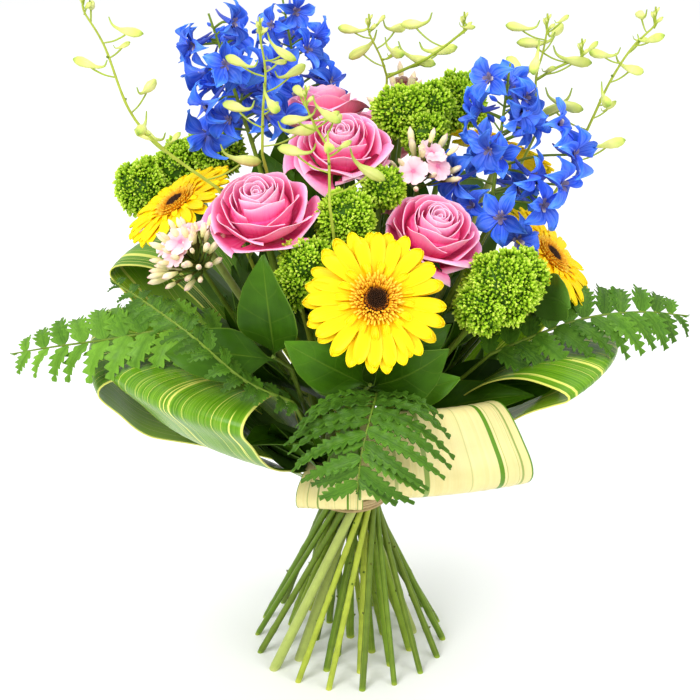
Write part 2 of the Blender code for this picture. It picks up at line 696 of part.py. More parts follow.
def spurred_bud(root, outward, length):
    """A bud on its stalk: a plump pointed body, with a spur that stands up from its back."""
    facing = unit(outward + np.array([0, 0, 0.15]))
    middle = root + outward * length * 0.62 + UP * length * 0.42
    verts, faces = tube([root - outward * 0.5, root + outward * length * 0.45 + UP * length * 0.12,
                         middle, middle + facing * length * 0.28, middle + facing * length * 0.8],
                        [0.6, 0.6, 1.7, length * 0.20, 0], 3)
    tip = middle - facing * length * 0.55 + UP * length * 0.45
    highest = max(range(3), key=lambda side: (verts[6 + side] + verts[6 + (side + 1) % 3])[2])
    low, low_next = 6 + highest, 6 + (highest + 1) % 3
    high, high_next = low + 3, low_next + 3
    faces = [face for face in faces if face not in ((low, low_next, high_next), (low, high_next, high))]
    verts.append(tip)
    apex = len(verts) - 1
    faces += [(low, low_next, apex), (low_next, high_next, apex), (high_next, high, apex), (high, low, apex)]
    return verts, faces


def bud_spray(stem, branches, seed):
    """Buds alternate up the thin branches and get smaller towards each tip."""
    draw = random.Random(seed)
    pieces = []
    for branch_number, branch in enumerate(branches):
        path = [np.array(point, dtype=float) for point in branch]
        path.append(path[-1] + UP * 6)
        path.append(path[-1] + UP * 7)
        tapered = [1.0] * (len(path) - 3) + [2.4, 0]
        if branch_number == 0:
            pieces.append(stem.piece(path[1:], tapered))
        else:
            root = path[0] - (path[1] - path[0]) * 0.03
            pieces.append(tube([root] + path[1:], [0.9] + tapered, 4))
        legs = len(path) - 3
        buds = 5 if len(branches) > 1 and branch_number == 0 else 7
        if branch_number:
            buds = 2
        for number in range(buds):
            share = (number + 0.4) / buds * legs
            leg = min(int(share), legs - 1)
            root = path[leg] + (path[leg + 1] - path[leg]) * (share - leg)
            turn = number * 2.4 + draw.uniform(-0.4, 0.4)
            outward = unit([math.cos(turn), 0.7 * math.sin(turn), 0.0])
            pieces.append(spurred_bud(root, outward, BUD_LENGTH * (1.05 - 0.05 * number)))
    fused(stem.name, pieces, BUD_SPRAY)


def phlox(stem, place, facing, flowers):
    """A cluster of small five-lobed flowers and pointed buds on short stalks."""
    facing = unit(facing)
    across, other = sides_of(facing)
    down = unit(stem.points[-2] - stem.top)
    pieces = [stem.piece()]
    total = flowers * 2
    for number in range(total):
        turn = number * 2.4
        lean = 0.1 + 0.9 * number / total
        outward = unit(facing + lean * (math.cos(turn) * across + math.sin(turn) * other))
        root = stem.top + down * (0.6 + 1.9 * number)
        stalk = 19 + 1.2 * number + 3 * (number % 2)
        tip = root + outward * stalk
        if number % 2 == 0:
            pieces.append(placed(trumpet(9.5, 0.45, (-0.36, 0.36), 0.10, stalk, 0.7), tip, outward, number))
        else:
            pieces.append(tube([root, tip - outward * 6, tip, tip + outward * 5], [0.6, 0.8, 2.4, 0], 3))
    fused(stem.name, pieces, PHLOX)


def pointed_leaf(foot, tip, half_width, bow):
    """A leaf from its narrow stalk to its pointed tip, widest below the middle, with a sunk midrib."""
    tip = np.array(tip, dtype=float)
    along = tip - foot
    outward = unit([foot[0] + tip[0], foot[1] + tip[1], 40.0])
    across = unit(np.cross(along, outward))
    face = np.cross(across, unit(along))
    rows = []
    for share, width in ((0.0, 0.07), (0.14, 0.09), (0.34, 0.88), (0.55, 1.0), (0.80, 0.6)):
        middle = foot + along * share + face * bow * math.sin(math.pi * share)
        edge = half_width * width
        lift = face * edge * 0.22
        rows.append([middle - across * edge + lift, middle, middle + across * edge + lift])
    rows.append([tip])
    return blade(*rows_to_triangles(rows))


def leafy_stem(stem, path, leaves):
    """Leaves stand on the stem's last stretch, each rooted inside it."""
    end = np.array(path[1], dtype=float)
    pieces = [stem.piece([end], [1.4])]
    for share, tip, half_width, bow in leaves:
        root = stem.top + (end - stem.top) * share
        pieces.append(pointed_leaf(root, tip, half_width, bow))
    fused(stem.name, pieces, BROAD_LEAF)


def fern(stem, path, half_width, leaflets):
    """One arched blade cut into pointed leaflets down to a narrow midrib."""
    path = [np.array(point, dtype=float) for point in path]
    sampled = []
    for number in range(2 * leaflets + 2):
        share = number / (2 * leaflets + 1) * (len(path) - 1)
        leg = min(int(share), len(path) - 2)
        sampled.append(path[leg] + (path[leg + 1] - path[leg]) * (share - leg))
    points = []
    triangles = []
    frames = []
    for number, middle in enumerate(sampled):
        along = unit(sampled[min(number + 1, len(sampled) - 1)] - sampled[max(number - 1, 0)])
        across = unit(np.cross(along, UP))
        frames.append((middle, along, across, np.cross(across, along)))
    for middle, along, across, face in frames:
        points += [middle - across * 1.3, middle + across * 1.3]
    for number in range(len(frames) - 1):
        low, high = 2 * number, 2 * number + 2
        triangles += [(low, low + 1, high + 1), (low, high + 1, high)]
    for number in range(leaflets):
        share = number / (leaflets - 1)
        size = half_width * math.sin(math.pi * (0.22 + 0.70 * share)) ** 0.8
        low, high = 2 * number + 1, 2 * number + 2
        middle, along, across, face = frames[low]
        for side, row in ((-1, 0), (1, 1)):
            start, end = 2 * low + row, 2 * high + row
            reach = side * across * size
            forward = along * size * 0.16
            pitch = np.linalg.norm(sampled[high] - sampled[low])
            count = len(points)
            points += [middle + reach * 0.5 + forward - along * pitch * 0.25 - face * size * 0.05,
                       middle + reach * 0.5 + forward + along * pitch * 1.3 - face * size * 0.05,
                       middle + reach + forward * 2 + along * pitch * 0.8 - face * size * 0.16]
            shape = [(start, count, count + 1), (start, count + 1, end), (count, count + 2, count + 1)]
            triangles += shape if side > 0 else [(a, c, b) for a, b, c in shape]
    midrib = stem.piece([path[0] + (path[1] - path[0]) * 0.5], [1.0])
    fused(stem.name, [blade(points, triangles), midrib], FERN)


def loop_outline(reach, height, fold, tuck, section):
    """Radius, level and share of the full spread, out from the waist, over the fold and back inside."""
    start = np.array([LOOP_RING, WAIST_Z + 12])
    bends = [np.array([reach * share, height - fold * depth]) for share, depth in LOOP_SECTIONS[section]]
    outline = [(*start, 0.05), (LOOP_RING + 9, WAIST_Z + 14, 0.1)]
    for share, width in ((0.36, 0.5), (0.64, 0.85)):
        outline.append((*(start + (bends[0] - start) * share), width))
    outline += [(*bend, 1.0) for bend in bends]
    for share, width in ((0.33, 0.97), (0.66, 0.88), (1.0, 0.5)):
        radius, level = bends[-1] + (tuck - bends[-1]) * share
        outline.append((radius, level + RETURN_BOW * math.sin(math.pi * share), width))
    return outline


def leaf_loop(name, azimuth, spread, reach, height, fold, tilt, tuck, section, shade):
    """A long leaf: out from the waist, folded over at the collar and tucked back inside it."""
    azimuth = math.radians(azimuth)
    radial = np.array([math.cos(azimuth), math.sin(azimuth), 0.0])
    rows = []
    for radius, level, width in loop_outline(reach, height, fold, np.array(tuck), section):
        half_turn = max(1.4 / radius, spread / 2 / reach * width)
        row = []
        for u in (-1.0, 0.0, 1.0):
            turn = azimuth + u * half_turn
            lift = tilt * u * radius / reach - 0.05 * half_turn * radius * u * u
            row.append((radius * math.cos(turn), radius * math.sin(turn), level + lift))
        rows.append(row)
    leaf = blade(*rows_to_triangles(rows), thickness=1.0)
    foot = radial * LOOP_RING + UP * (WAIST_Z - 8)
    neck = radial * LOOP_RING + UP * (WAIST_Z + 10)
    reach_out = radial * (LOOP_RING + 9) + UP * (WAIST_Z + 14)
    stalk = tube([foot, neck, neck + (reach_out - neck) * 0.8], [1.3, 1.4, 1.1], 5)
    fused(name, [leaf, stalk], shade)


def tie():
    """Three turns of cord drawn tight round the waist, fused into one ring."""
    sides = 12
    inner = 23.7 / math.cos(math.pi / sides)
    profile = [(inner, -7.0), (inner + 2.6, -5.4), (inner + 1.7, -2.4), (inner + 2.8, 0.0),
               (inner + 1.7, 2.4), (inner + 2.6, 5.4), (inner, 7.0)]
    verts = []
    faces = []
    for side in range(sides):
        turn = 2 * math.pi * side / sides
        for reach, level in profile:
            verts.append((reach * math.cos(turn), reach * math.sin(turn), WAIST_Z + level))
    count = len(profile)
    for side in range(sides):
        low, high = side * count, (side + 1) % sides * count
        for step in range(count):
            nxt = (step + 1) % count
            faces += [(low + step, high + step, high + nxt), (low + step, high + nxt, low + nxt)]
    fused("tie", [(verts, faces)], TIE)


def bloom_balls():
    """Balls that stand for the blooms while the stems settle round them."""
    balls = []
    for name, (place, facing, radius) in ROSES.items():
        balls.append((name, np.array(place) + unit(facing) * 20, radius * 0.95))
        balls.append((name, np.array(place) + unit(facing) * 8, 14))
    for name, (place, facing, radius) in GERBERAS.items():
        across, other = sides_of(facing)
        for count, share in ((10, 0.84), (5, 0.42)):
            for number in range(count):
                turn = 2 * math.pi * number / count
                spoke = math.cos(turn) * across + math.sin(turn) * other
                balls.append((name, np.array(place) + spoke * radius * share, radius * 0.17))
    for name, lobes in HEADS.items():
        balls += [(name, place, radius + 1.5) for place, radius in lobes]
    return balls


def main():
    stems = bunch_stems()
    for ring_radius, foot_radius, names in RINGS:
        wanted = [math.atan2(stems[name].top[1], stems[name].top[0]) for name in names]
        even = [2 * math.pi * number / len(names) for number in range(len(names))]
        phase = math.atan2(sum(math.sin(a - b) for a, b in zip(wanted, even)),
                           sum(math.cos(a - b) for a, b in zip(wanted, even)))
        for name, slot in zip(names, even):
            stems[name].lay(ring_radius, foot_radius, slot + phase - SPIRAL_SWING)
    settle(list(stems.values()), bloom_balls())
    for name, (place, facing, radius) in ROSES.items():
        rose(name, place, facing, radius)
        rose_stem(stems[name])
    for name, (place, facing, radius) in GERBERAS.items():
        gerbera(name, place, facing, radius)
        gerbera_stem(stems[name])
    for name, lobes in HEADS.items():
        green_head(stems[name], lobes)
    for name, (_, tip, florets, first_turn) in DELPHINIUMS.items():
        delphinium(stems[name], tip, florets, first_turn)
    for seed, (name, branches) in enumerate(BUD_SPRAYS.items()):
        bud_spray(stems[name], branches, seed)
    for name, (place, facing, flowers) in PHLOXES.items():
        phlox(stems[name], place, facing, flowers)
    for name, (path, half_width, leaflets) in FERNS.items():
        fern(stems[name], path, half_width, leaflets)
    for name, (path, leaves) in LEAFY_STEMS.items():
        leafy_stem(stems[name], path, leaves)
    for name, shape in LOOPS.items():
        leaf_loop(name, *shape)
    tie()


main()
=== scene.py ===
import math
import random

import bpy
import numpy as np
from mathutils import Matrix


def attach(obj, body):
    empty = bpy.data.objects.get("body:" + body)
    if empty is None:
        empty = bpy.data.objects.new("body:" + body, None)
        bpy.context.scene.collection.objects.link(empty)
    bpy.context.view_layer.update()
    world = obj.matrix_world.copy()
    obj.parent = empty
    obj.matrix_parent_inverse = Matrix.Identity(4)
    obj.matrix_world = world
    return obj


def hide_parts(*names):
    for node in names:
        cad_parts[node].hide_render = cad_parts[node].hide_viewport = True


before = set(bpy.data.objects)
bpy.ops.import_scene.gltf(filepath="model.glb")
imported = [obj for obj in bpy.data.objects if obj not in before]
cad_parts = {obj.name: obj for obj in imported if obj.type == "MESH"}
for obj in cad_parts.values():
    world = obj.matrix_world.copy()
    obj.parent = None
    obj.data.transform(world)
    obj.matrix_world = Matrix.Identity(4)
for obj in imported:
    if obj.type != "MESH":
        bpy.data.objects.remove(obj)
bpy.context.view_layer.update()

bpy.ops.object.select_all(action="DESELECT")


# The room
# The bunch stands on a plain white table that runs out of the picture on every side.
# The camera looks down on it from the front, and large soft lamps leave only a faint shadow.
TABLE_SIZE = 14.0
CAMERA_LENS = 97.9
CAMERA_PLACE = (0.0, -1.142, 0.7575)
CAMERA_TILT = 65.0
ROOM_LIGHT = 0.74
# Each lamp: its place and its width in metres, and its power in watts
LAMPS = {
    "lamp_front_left": ((-1.1, -1.3, 1.7), 1.2, 36.0),
    "lamp_front_right": ((1.5, -0.9, 1.3), 1.2, 14.0),
    "lamp_back": ((0.2, 0.8, 2.3), 1.4, 24.0),
}
LAMP_TARGET = (0.0, 0.0, 0.25)


def add(tree, kind, inputs=None, **settings):
    """A shader node with its settings, and with values or links in its inputs."""
    node = tree.nodes.new(kind)
    for setting, value in settings.items():
        setattr(node, setting, value)
    for socket, value in (inputs or {}).items():
        if isinstance(value, bpy.types.NodeSocket):
            tree.links.new(value, node.inputs[socket])
        else:
            node.inputs[socket].default_value = value
    return node


bpy.ops.mesh.primitive_plane_add(size=TABLE_SIZE, location=(0.0, 2.0, 0.0))
table = bpy.context.object
table.name = "table_top"
table_paint = bpy.data.materials.new("white_table")
table_paint.use_nodes = True
paint_tree = table_paint.node_tree
paint_place = add(paint_tree, "ShaderNodeTexCoord").outputs["Object"]
paint_cloud = add(paint_tree, "ShaderNodeTexNoise", {"Vector": paint_place, "Scale": 3.0}).outputs["Fac"]
paint_ramp = add(paint_tree, "ShaderNodeValToRGB", {"Fac": paint_cloud})
paint_ramp.color_ramp.elements[0].color = (0.90, 0.905, 0.91, 1.0)
paint_ramp.color_ramp.elements[1].color = (0.93, 0.93, 0.93, 1.0)
paint_shader = paint_tree.nodes["Principled BSDF"]
paint_shader.inputs["Roughness"].default_value = 0.55
paint_tree.links.new(paint_ramp.outputs["Color"], paint_shader.inputs["Base Color"])
table.data.materials.append(table_paint)

camera_lens = bpy.data.cameras.new("camera")
camera_lens.lens = CAMERA_LENS
camera_lens.sensor_width = 36.0
camera = bpy.data.objects.new("camera", camera_lens)
camera.location = CAMERA_PLACE
camera.rotation_euler = (math.radians(CAMERA_TILT), 0.0, 0.0)
bpy.context.scene.collection.objects.link(camera)
bpy.context.scene.camera = camera

room = bpy.data.worlds.new("room")
room.use_nodes = True
room.node_tree.nodes["Background"].inputs["Color"].default_value = (1.0, 1.0, 1.0, 1.0)
room.node_tree.nodes["Background"].inputs["Strength"].default_value = ROOM_LIGHT
bpy.context.scene.world = room
bpy.context.scene.view_settings.view_transform = "Standard"
for name, (place, width, power) in LAMPS.items():
    light = bpy.data.lights.new(name, "AREA")
    light.size = width
    light.energy = power
    lamp = bpy.data.objects.new(name, light)
    lamp.location = place
    aim = np.array(LAMP_TARGET) - np.array(place)
    fall = math.acos(-aim[2] / np.linalg.norm(aim))
    lamp.rotation_euler = (fall, 0.0, math.atan2(aim[0], -aim[1]) + math.pi)
    bpy.context.scene.collection.objects.link(lamp)


# The stems
# Thirty-seven cut stems cross in one spiral at the tie and splay to a flat cut at the table.
# Each is a tapered stalk with leaf joints and small scars, followed up the middle of its solid.
# A shape here is a tuple of points in millimetres, its faces, and four marks for each point:
# its share along the growth, its place across from -1 to 1, its tint, and 1 on its underside.
MARKS = ("along", "across", "tint", "underside")
UP = np.array((0.0, 0.0, 1.0))
TURN = 2 * math.pi
# The turn from one leaf or floret to the next, as most plants grow them
NEXT_TURN = 2.4
EVEN_TURN = 2.39996
WAIST_Z = 123.0


def vector(values):
    return np.array(values, dtype=float)


def unit(values):
    return vector(values) / np.linalg.norm(vector(values))


def sides_of(axis):
    """Two unit vectors square to an axis, the second as near to upright as it can be."""
    axis = unit(axis)
    guide = UP if abs(axis[2]) < 0.95 else vector((0, 1, 0))
    across = unit(np.cross(guide, axis))
    return across, np.cross(axis, across)


def tube(path, radii, sides, tint=0.5, along=(0.0, 1.0)):
    """A closed stalk through a path, with a radius at each of its points."""
    path = vector(path)
    radii = np.broadcast_to(vector(radii), (len(path),))
    tangents = np.gradient(path, axis=0)
    tangents /= np.linalg.norm(tangents, axis=1)[:, None]
    turns = np.linspace(0.0, TURN, sides, endpoint=False)
    across = sides_of(tangents[0])[0]
    rings = []
    for point, tangent, radius in zip(path, tangents, radii):
        across = unit(across - tangent * np.dot(across, tangent))
        other = np.cross(tangent, across)
        rings.append(point + radius * (np.cos(turns)[:, None] * across + np.sin(turns)[:, None] * other))
    points = np.concatenate(rings)
    count = len(path)
    starts, corners = np.arange(count - 1)[:, None] * sides, np.arange(sides)[None, :]
    low = (starts + corners).ravel()
    after = (starts + (corners + 1) % sides).ravel()
    faces = np.stack((low, after, after + sides, low + sides), axis=1).tolist()
    faces.append(list(range(sides - 1, -1, -1)))
    faces.append(list(range((count - 1) * sides, count * sides)))
    marks = np.zeros((len(points), 4))
    marks[:, 0] = np.repeat(np.linspace(along[0], along[1], count), sides)
    marks[:, 1] = np.tile(np.cos(turns), count)
    marks[:, 2] = tint
    return points, faces, marks


def joined(name, shapes, finish, node, sharp_degrees=50.0):
    """One piece of the bunch: its shapes in one mesh, in metres, in the place of a node of the solids."""
    points = np.concatenate([shape[0] for shape in shapes]) * 0.001
    marks = np.concatenate([shape[2] for shape in shapes])
    faces = []
    start = 0
    for shape in shapes:
        faces += [[corner + start for corner in face] for face in shape[1]]
        start += len(shape[0])
    mesh = bpy.data.meshes.new(name)
    mesh.from_pydata(points.tolist(), [], faces)
    for column, mark in enumerate(MARKS):
        mesh.attributes.new(mark, "FLOAT", "POINT").data.foreach_set("value", marks[:, column].copy())
    mesh.shade_smooth()
    mesh.set_sharp_from_angle(angle=math.radians(sharp_degrees))
    mesh.materials.append(finish)
    piece = bpy.data.objects.new(name, mesh)
    bpy.context.scene.collection.objects.link(piece)
    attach(piece, "root")
    if node:
        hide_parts(node)


def smooth_line(points, spacing):
    """A smooth curve through some points, as points about so far apart."""
    points = vector(points)
    padded = np.concatenate((points[:1] * 2 - points[1:2], points, points[-1:] * 2 - points[-2:-1]))
    line = []
    for before, start, end, after in zip(padded, padded[1:], padded[2:], padded[3:]):
        steps = max(1, int(round(np.linalg.norm(end - start) / spacing)))
        for t in np.arange(steps) / steps:
            bend = (2 * before - 5 * start + 4 * end - after) * t * t
            swing = (3 * start - before - 3 * end + after) * t ** 3
            line.append(0.5 * (2 * start + (end - before) * t + bend + swing))
    return np.array(line + [points[-1]])


def stem_line(node, top, spacing=5.0):
    """The middle of a stem, followed up through its solid from the cut end to near its top."""
    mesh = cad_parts[node].data
    points = np.empty(len(mesh.vertices) * 3)
    mesh.vertices.foreach_get("co", points)
    points = points.reshape(-1, 3) * 1000.0
    ends = np.empty(len(mesh.edges) * 2, dtype=np.int64)
    mesh.edges.foreach_get("vertices", ends)
    start, end = points[ends[0::2]], points[ends[1::2]]
    foot = points[points[:, 2] < 0.3]
    here = (foot.min(0) + foot.max(0)) / 2
    width = np.linalg.norm(foot - here, axis=1).mean()
    heading = unit(UP * WAIST_Z - here)
    line = [here]
    top = vector(top)
    while np.linalg.norm(top - here) > 2.2 * spacing and len(line) < 140:
        guess = here + heading * spacing
        side_a, side_b = (start - guess) @ heading, (end - guess) @ heading
        cut = np.flatnonzero(side_a * side_b < 0)
        share = (side_a[cut] / (side_a[cut] - side_b[cut]))[:, None]
        hits = start[cut] + (end[cut] - start[cut]) * share
        hits = hits[np.linalg.norm(hits - guess, axis=1) < 1.9 * width + 1.2]
        if len(hits) < 6:
            break
        middle = hits.mean(0)
        step = unit(middle - here)
        heading = step if len(line) < 3 else unit(0.6 * heading + 0.4 * step)
        here = middle
        line.append(here)
    line = np.array(line + [top])
    for _ in range(6):
        free = np.flatnonzero(line[1:-1, 2] > WAIST_Z + 23) + 1
        line[free] = 0.25 * line[free - 1] + 0.5 * line[free] + 0.25 * line[free + 1]
    return line


def mark_of(tree, mark):
    """One of the four marks that every shape carries, read in a finish."""
    return add(tree, "ShaderNodeAttribute", attribute_name=mark).outputs["Fac"]


def sum_of(tree, operation, *values):
    """The result of a math node."""
    return add(tree, "ShaderNodeMath", dict(enumerate(values)), operation=operation).outputs[0]


def ranged(tree, value, low, high, first=0.0, last=1.0):
    """A value moved from one range to another, and kept inside it."""
    inputs = {"Value": value, "From Min": low, "From Max": high, "To Min": first, "To Max": last}
    return add(tree, "ShaderNodeMapRange", inputs).outputs[0]


def mixed(tree, weight, first, second):
    """One colour laid over another by a weight."""
    mix = add(tree, "ShaderNodeMix", {"Factor": weight, "A": first, "B": second}, data_type="RGBA")
    return mix.outputs["Result"]


def build_tissue():
    """The effect that all the plant finishes share: fine streaks along the growth, a soft mottle,
    and a shift of brightness from one petal or leaf to the next."""
    tissue = bpy.data.node_groups.new("plant_tissue", "ShaderNodeTree")
    sockets = [("Colour", "INPUT", "Color"), ("Streak Colour", "INPUT", "Color")]
    sockets += [(socket, "INPUT", "Float") for socket in (
        "Streaks", "Streak Strength", "Mottle Scale", "Mottle Strength", "Tint Strength")]
    sockets += [("Colour", "OUTPUT", "Color"), ("Height", "OUTPUT", "Float")]
    for socket, side, kind in sockets:
        tissue.interface.new_socket(socket, in_out=side, socket_type="NodeSocket" + kind)
    given = tissue.nodes.new("NodeGroupInput").outputs
    along, across, tint = mark_of(tissue, "along"), mark_of(tissue, "across"), mark_of(tissue, "tint")
    line = add(tissue, "ShaderNodeCombineXYZ", {
        "X": sum_of(tissue, "MULTIPLY", across, given["Streaks"]), "Y": along,
        "Z": sum_of(tissue, "MULTIPLY", tint, 37.0)})
    streak = add(tissue, "ShaderNodeTexNoise", {"Vector": line.outputs[0], "Scale": 1.0, "Detail": 3.0})
    sharp = ranged(tissue, streak.outputs["Fac"], 0.35, 0.65)
    place = add(tissue, "ShaderNodeTexCoord").outputs["Object"]
    mottle = {"Vector": place, "Scale": given["Mottle Scale"], "Detail": 4.0}
    cloud = add(tissue, "ShaderNodeTexNoise", mottle).outputs["Fac"]
    weight = sum_of(tissue, "MULTIPLY", sharp, given["Streak Strength"])
    streaked = mixed(tissue, weight, given["Colour"], given["Streak Colour"])
    bright = sum_of(tissue, "SUBTRACT", cloud, 0.5)
    bright = sum_of(tissue, "MULTIPLY_ADD", bright, given["Mottle Strength"], 1.0)
    lift = sum_of(tissue, "SUBTRACT", tint, 0.5)
    lift = sum_of(tissue, "MULTIPLY_ADD", lift, given["Tint Strength"], 1.0)
    value = sum_of(tissue, "MULTIPLY", bright, lift)
    shaded = add(tissue, "ShaderNodeHueSaturation", {"Color": streaked, "Value": value})
    rise = sum_of(tissue, "MULTIPLY_ADD", sharp, 0.6, 0.0)
    rise = sum_of(tissue, "MULTIPLY_ADD", cloud, 0.4, rise)
    add(tissue, "NodeGroupOutput", {"Colour": shaded.outputs["Color"], "Height": rise})
    return tissue


TISSUE = build_tissue()


def plant_finish(
        name, colours, mark="along", streak_colour=(1, 1, 1), streaks=20.0, streak_strength=0.2, mottle=300.0,
        mottle_strength=0.3, tint_strength=0.3, bump=0.0002, roughness=0.5, sheen=0.0, shine=0.3, glow=0.0):
    """A finish with its colours along one mark, and the shared tissue effect over them."""
    finish = bpy.data.materials.new(name)
    finish.use_nodes = True
    tree = finish.node_tree
    ramp = add(tree, "ShaderNodeValToRGB", {"Fac": mark_of(tree, mark)})
    elements = ramp.color_ramp.elements
    while len(elements) < len(colours):
        elements.new(0.5)
    for element, (place, colour) in zip(elements, colours):
        element.position = place
        element.color = (*colour, 1.0)
    tissue = add(tree, "ShaderNodeGroup", {
        "Colour": ramp.outputs["Color"], "Streak Colour": (*streak_colour, 1.0), "Streaks": streaks,
        "Streak Strength": streak_strength, "Mottle Scale": mottle, "Mottle Strength": mottle_strength,
        "Tint Strength": tint_strength}, node_tree=TISSUE)
    dents = {"Height": tissue.outputs["Height"], "Strength": 0.6, "Distance": bump}
    dent = add(tree, "ShaderNodeBump", dents)
    shader = tree.nodes["Principled BSDF"]
    tree.links.new(tissue.outputs["Colour"], shader.inputs["Base Color"])
    tree.links.new(dent.outputs["Normal"], shader.inputs["Normal"])
    for socket, value in (
            ("Roughness", roughness), ("Sheen Weight", sheen), ("Specular IOR Level", 0.06),
            ("Coat Weight", shine), ("Coat Roughness", roughness * 0.8), ("Subsurface Weight", glow),
            ("Subsurface Radius", (0.004, 0.003, 0.002))):
        shader.inputs[socket].default_value = value
    return finish


def opened(finish):
    """The tree and the shader of a finish, and the colour that goes into it so far."""
    shader = finish.node_tree.nodes["Principled BSDF"]
    return finish.node_tree, shader, shader.inputs["Base Color"].links[0].from_socket


STALK = plant_finish(
    "green_stalk",
    ((0.0, (0.08, 0.05, 0.015)), (0.3, (0.07, 0.135, 0.010)), (0.5, (0.12, 0.23, 0.014)),
     (0.65, (0.24, 0.37, 0.025)), (1.0, (0.58, 0.62, 0.07))),
    mark="tint", streak_colour=(0.34, 0.38, 0.06), streaks=3.0, streak_strength=0.35, mottle=160.0,
    mottle_strength=0.7, tint_strength=0.0, roughness=0.45)
# No leaf joints: a spacing longer than any stem
BARE = 900.0


def stalk_shapes(line, radii, tint, seed, joints=34.0, sides=12):
    """A stalk with swollen leaf joints along it, each with the scar of a leaf that was stripped off."""
    draw = random.Random(seed)
    line = np.array(line)
    lengths = np.concatenate(([0.0], np.cumsum(np.linalg.norm(np.diff(line, axis=0), axis=1))))
    total = lengths[-1]
    radius_shares = np.linspace(0, 1, len(radii))
    fine = np.arange(0.0, total, 3.0)
    points = np.stack([np.interp(fine, lengths, line[:, axis]) for axis in range(3)], axis=1)
    points = np.concatenate((points, line[-1:]))
    fine = np.append(fine, total)
    width = np.interp(fine / total, radius_shares, radii)
    scars = []
    place = draw.uniform(14.0, joints)
    while place < total - 20.0:
        width = width * (1 + 0.13 * np.exp(-((fine - place) / 2.6) ** 2))
        scars.append(place)
        place += joints * draw.uniform(0.7, 1.3)
    points[0, 2] = 0.0
    shapes = [tube(points, width, sides, tint)]
    shapes[0][0][:sides, 2] = 0.0
    brown_end = np.repeat(np.interp(fine, (0, 2, 14), (0.35, 0.0, 0.0)), sides)
    shapes[0][2][:, 2] = np.clip(tint + brown_end, 0, 1)
    for number, scar in enumerate(scars):
        middle = np.array([np.interp(scar, lengths, line[:, axis]) for axis in range(3)])
        if middle[2] <= 2.0 or WAIST_Z - 11 <= middle[2] < WAIST_Z + 27:
            continue
        turn = number * NEXT_TURN + draw.uniform(0, 1)
        outward = np.array((math.cos(turn), math.sin(turn), 0.25))
        thick = np.interp(scar / total, radius_shares, radii)
        foot, tip = middle + outward * thick * 0.7, middle + outward * (thick + 0.5)
        end = middle + outward * (thick + 1.0) + UP * 0.5
        shapes.append(tube([foot, tip, end], [1.0, 0.7, 0.3], 6, tint * 0.45))
    return shapes


# The roses
# Five open roses: whorls of soft pink petals, spiralled tight in the middle and rolled back to a
# point at their rims, each on a stem whose calyx turns five sepals down below the petals.
ROSES = {
    "rose_left": ((-52, -63, 334), (-0.12, -0.35, 0.93), 31),
    "rose_top": ((-6, -18, 361), (0.0, -0.42, 0.91), 28),
    "rose_far": ((-17, 40, 362), (-0.1, 0.28, 0.95), 27),
    "rose_right": ((47, -53, 319), (0.25, -0.40, 0.88), 28),
    "rose_back": ((15, 80, 330), (0.1, 0.66, 0.74), 28),
}
# Each whorl: petals, rim radius, rim height, half the angle that a petal spans, and how far its rim rolls
ROSE_WHORLS = (
    (1, 0.05, 1.06, 2.9, 0.0), (2, 0.11, 1.12, 2.0, 0.0), (3, 0.185, 1.16, 1.45, 0.01),
    (3, 0.27, 1.17, 1.35, 0.02), (4, 0.37, 1.16, 1.05, 0.035), (4, 0.49, 1.10, 1.0, 0.06),
    (5, 0.64, 1.00, 0.82, 0.10), (5, 0.82, 0.84, 0.80, 0.15), (5, 0.93, 0.58, 0.76, 0.15))
SEPALS = 5
# Along each petal the colour runs from a cream-green claw through salmon to a deep pink, which is painted
# shade deep in the cup. It then lightens to a pale rim that is partly painted highlight.
ROSE_PETAL = plant_finish(
    "rose_petal_skin",
    ((0.0, (0.70, 0.50, 0.14)), (0.12, (0.85, 0.28, 0.22)), (0.32, (0.82, 0.035, 0.22)),
     (0.70, (0.96, 0.12, 0.38)), (0.90, (1.0, 0.33, 0.58)), (1.0, (1.0, 0.66, 0.80))),
    streak_colour=(1.0, 0.42, 0.64), streaks=14.0, streak_strength=0.25, mottle=200.0,
    mottle_strength=0.2, tint_strength=0.25, roughness=0.6, shine=0.15, glow=0.35)
# The outer petals, which have the lowest tints, are duller on their inner faces
tree, shader, colour = opened(ROSE_PETAL)
outer = ranged(tree, mark_of(tree, "tint"), 0.26, 0.46, 0.75, 0.0)
inner_face = sum_of(tree, "SUBTRACT", 1.0, mark_of(tree, "underside"))
dulled = mixed(tree, sum_of(tree, "MULTIPLY", outer, inner_face), colour, (0.90, 0.25, 0.30, 1.0))
tree.links.new(dulled, shader.inputs["Base Color"])


def leaf_grid(rows, columns):
    """The share along and the place across of each point of a leaf, as two grids."""
    return np.meshgrid(np.linspace(0, 1, rows), np.linspace(-1, 1, columns), indexing="ij")


def blade(grid, marks, thickness):
    """A thin closed blade round a grid of points; marks are the grid's along, across and tint."""
    rows, columns = grid.shape[:2]
    normals = np.cross(np.gradient(grid, axis=1), np.gradient(grid, axis=0))
    normals /= np.linalg.norm(normals, axis=2)[:, :, None] + 1e-12
    offset = normals * (np.broadcast_to(thickness, (rows, columns)) / 2)[:, :, None]
    points = np.concatenate(((grid + offset).reshape(-1, 3), (grid - offset).reshape(-1, 3)))
    count = rows * columns
    index = np.arange(count).reshape(rows, columns)
    top = np.stack((index[:-1, :-1], index[:-1, 1:], index[1:, 1:], index[1:, :-1]), axis=2).reshape(-1, 4)
    edge = np.concatenate((index[0, :-1], index[:-1, -1], index[-1, :0:-1], index[:0:-1, 0]))
    rim = np.stack((np.roll(edge, -1), edge, edge + count, np.roll(edge, -1) + count), axis=1)
    faces = np.concatenate((top, top[:, ::-1] + count, rim)).tolist()
    half = np.stack([np.broadcast_to(mark, (rows, columns)).ravel() for mark in marks], axis=1)
    underside = np.concatenate((np.zeros(count), np.ones(count)))
    return points, faces, np.column_stack((np.concatenate((half, half)), underside))


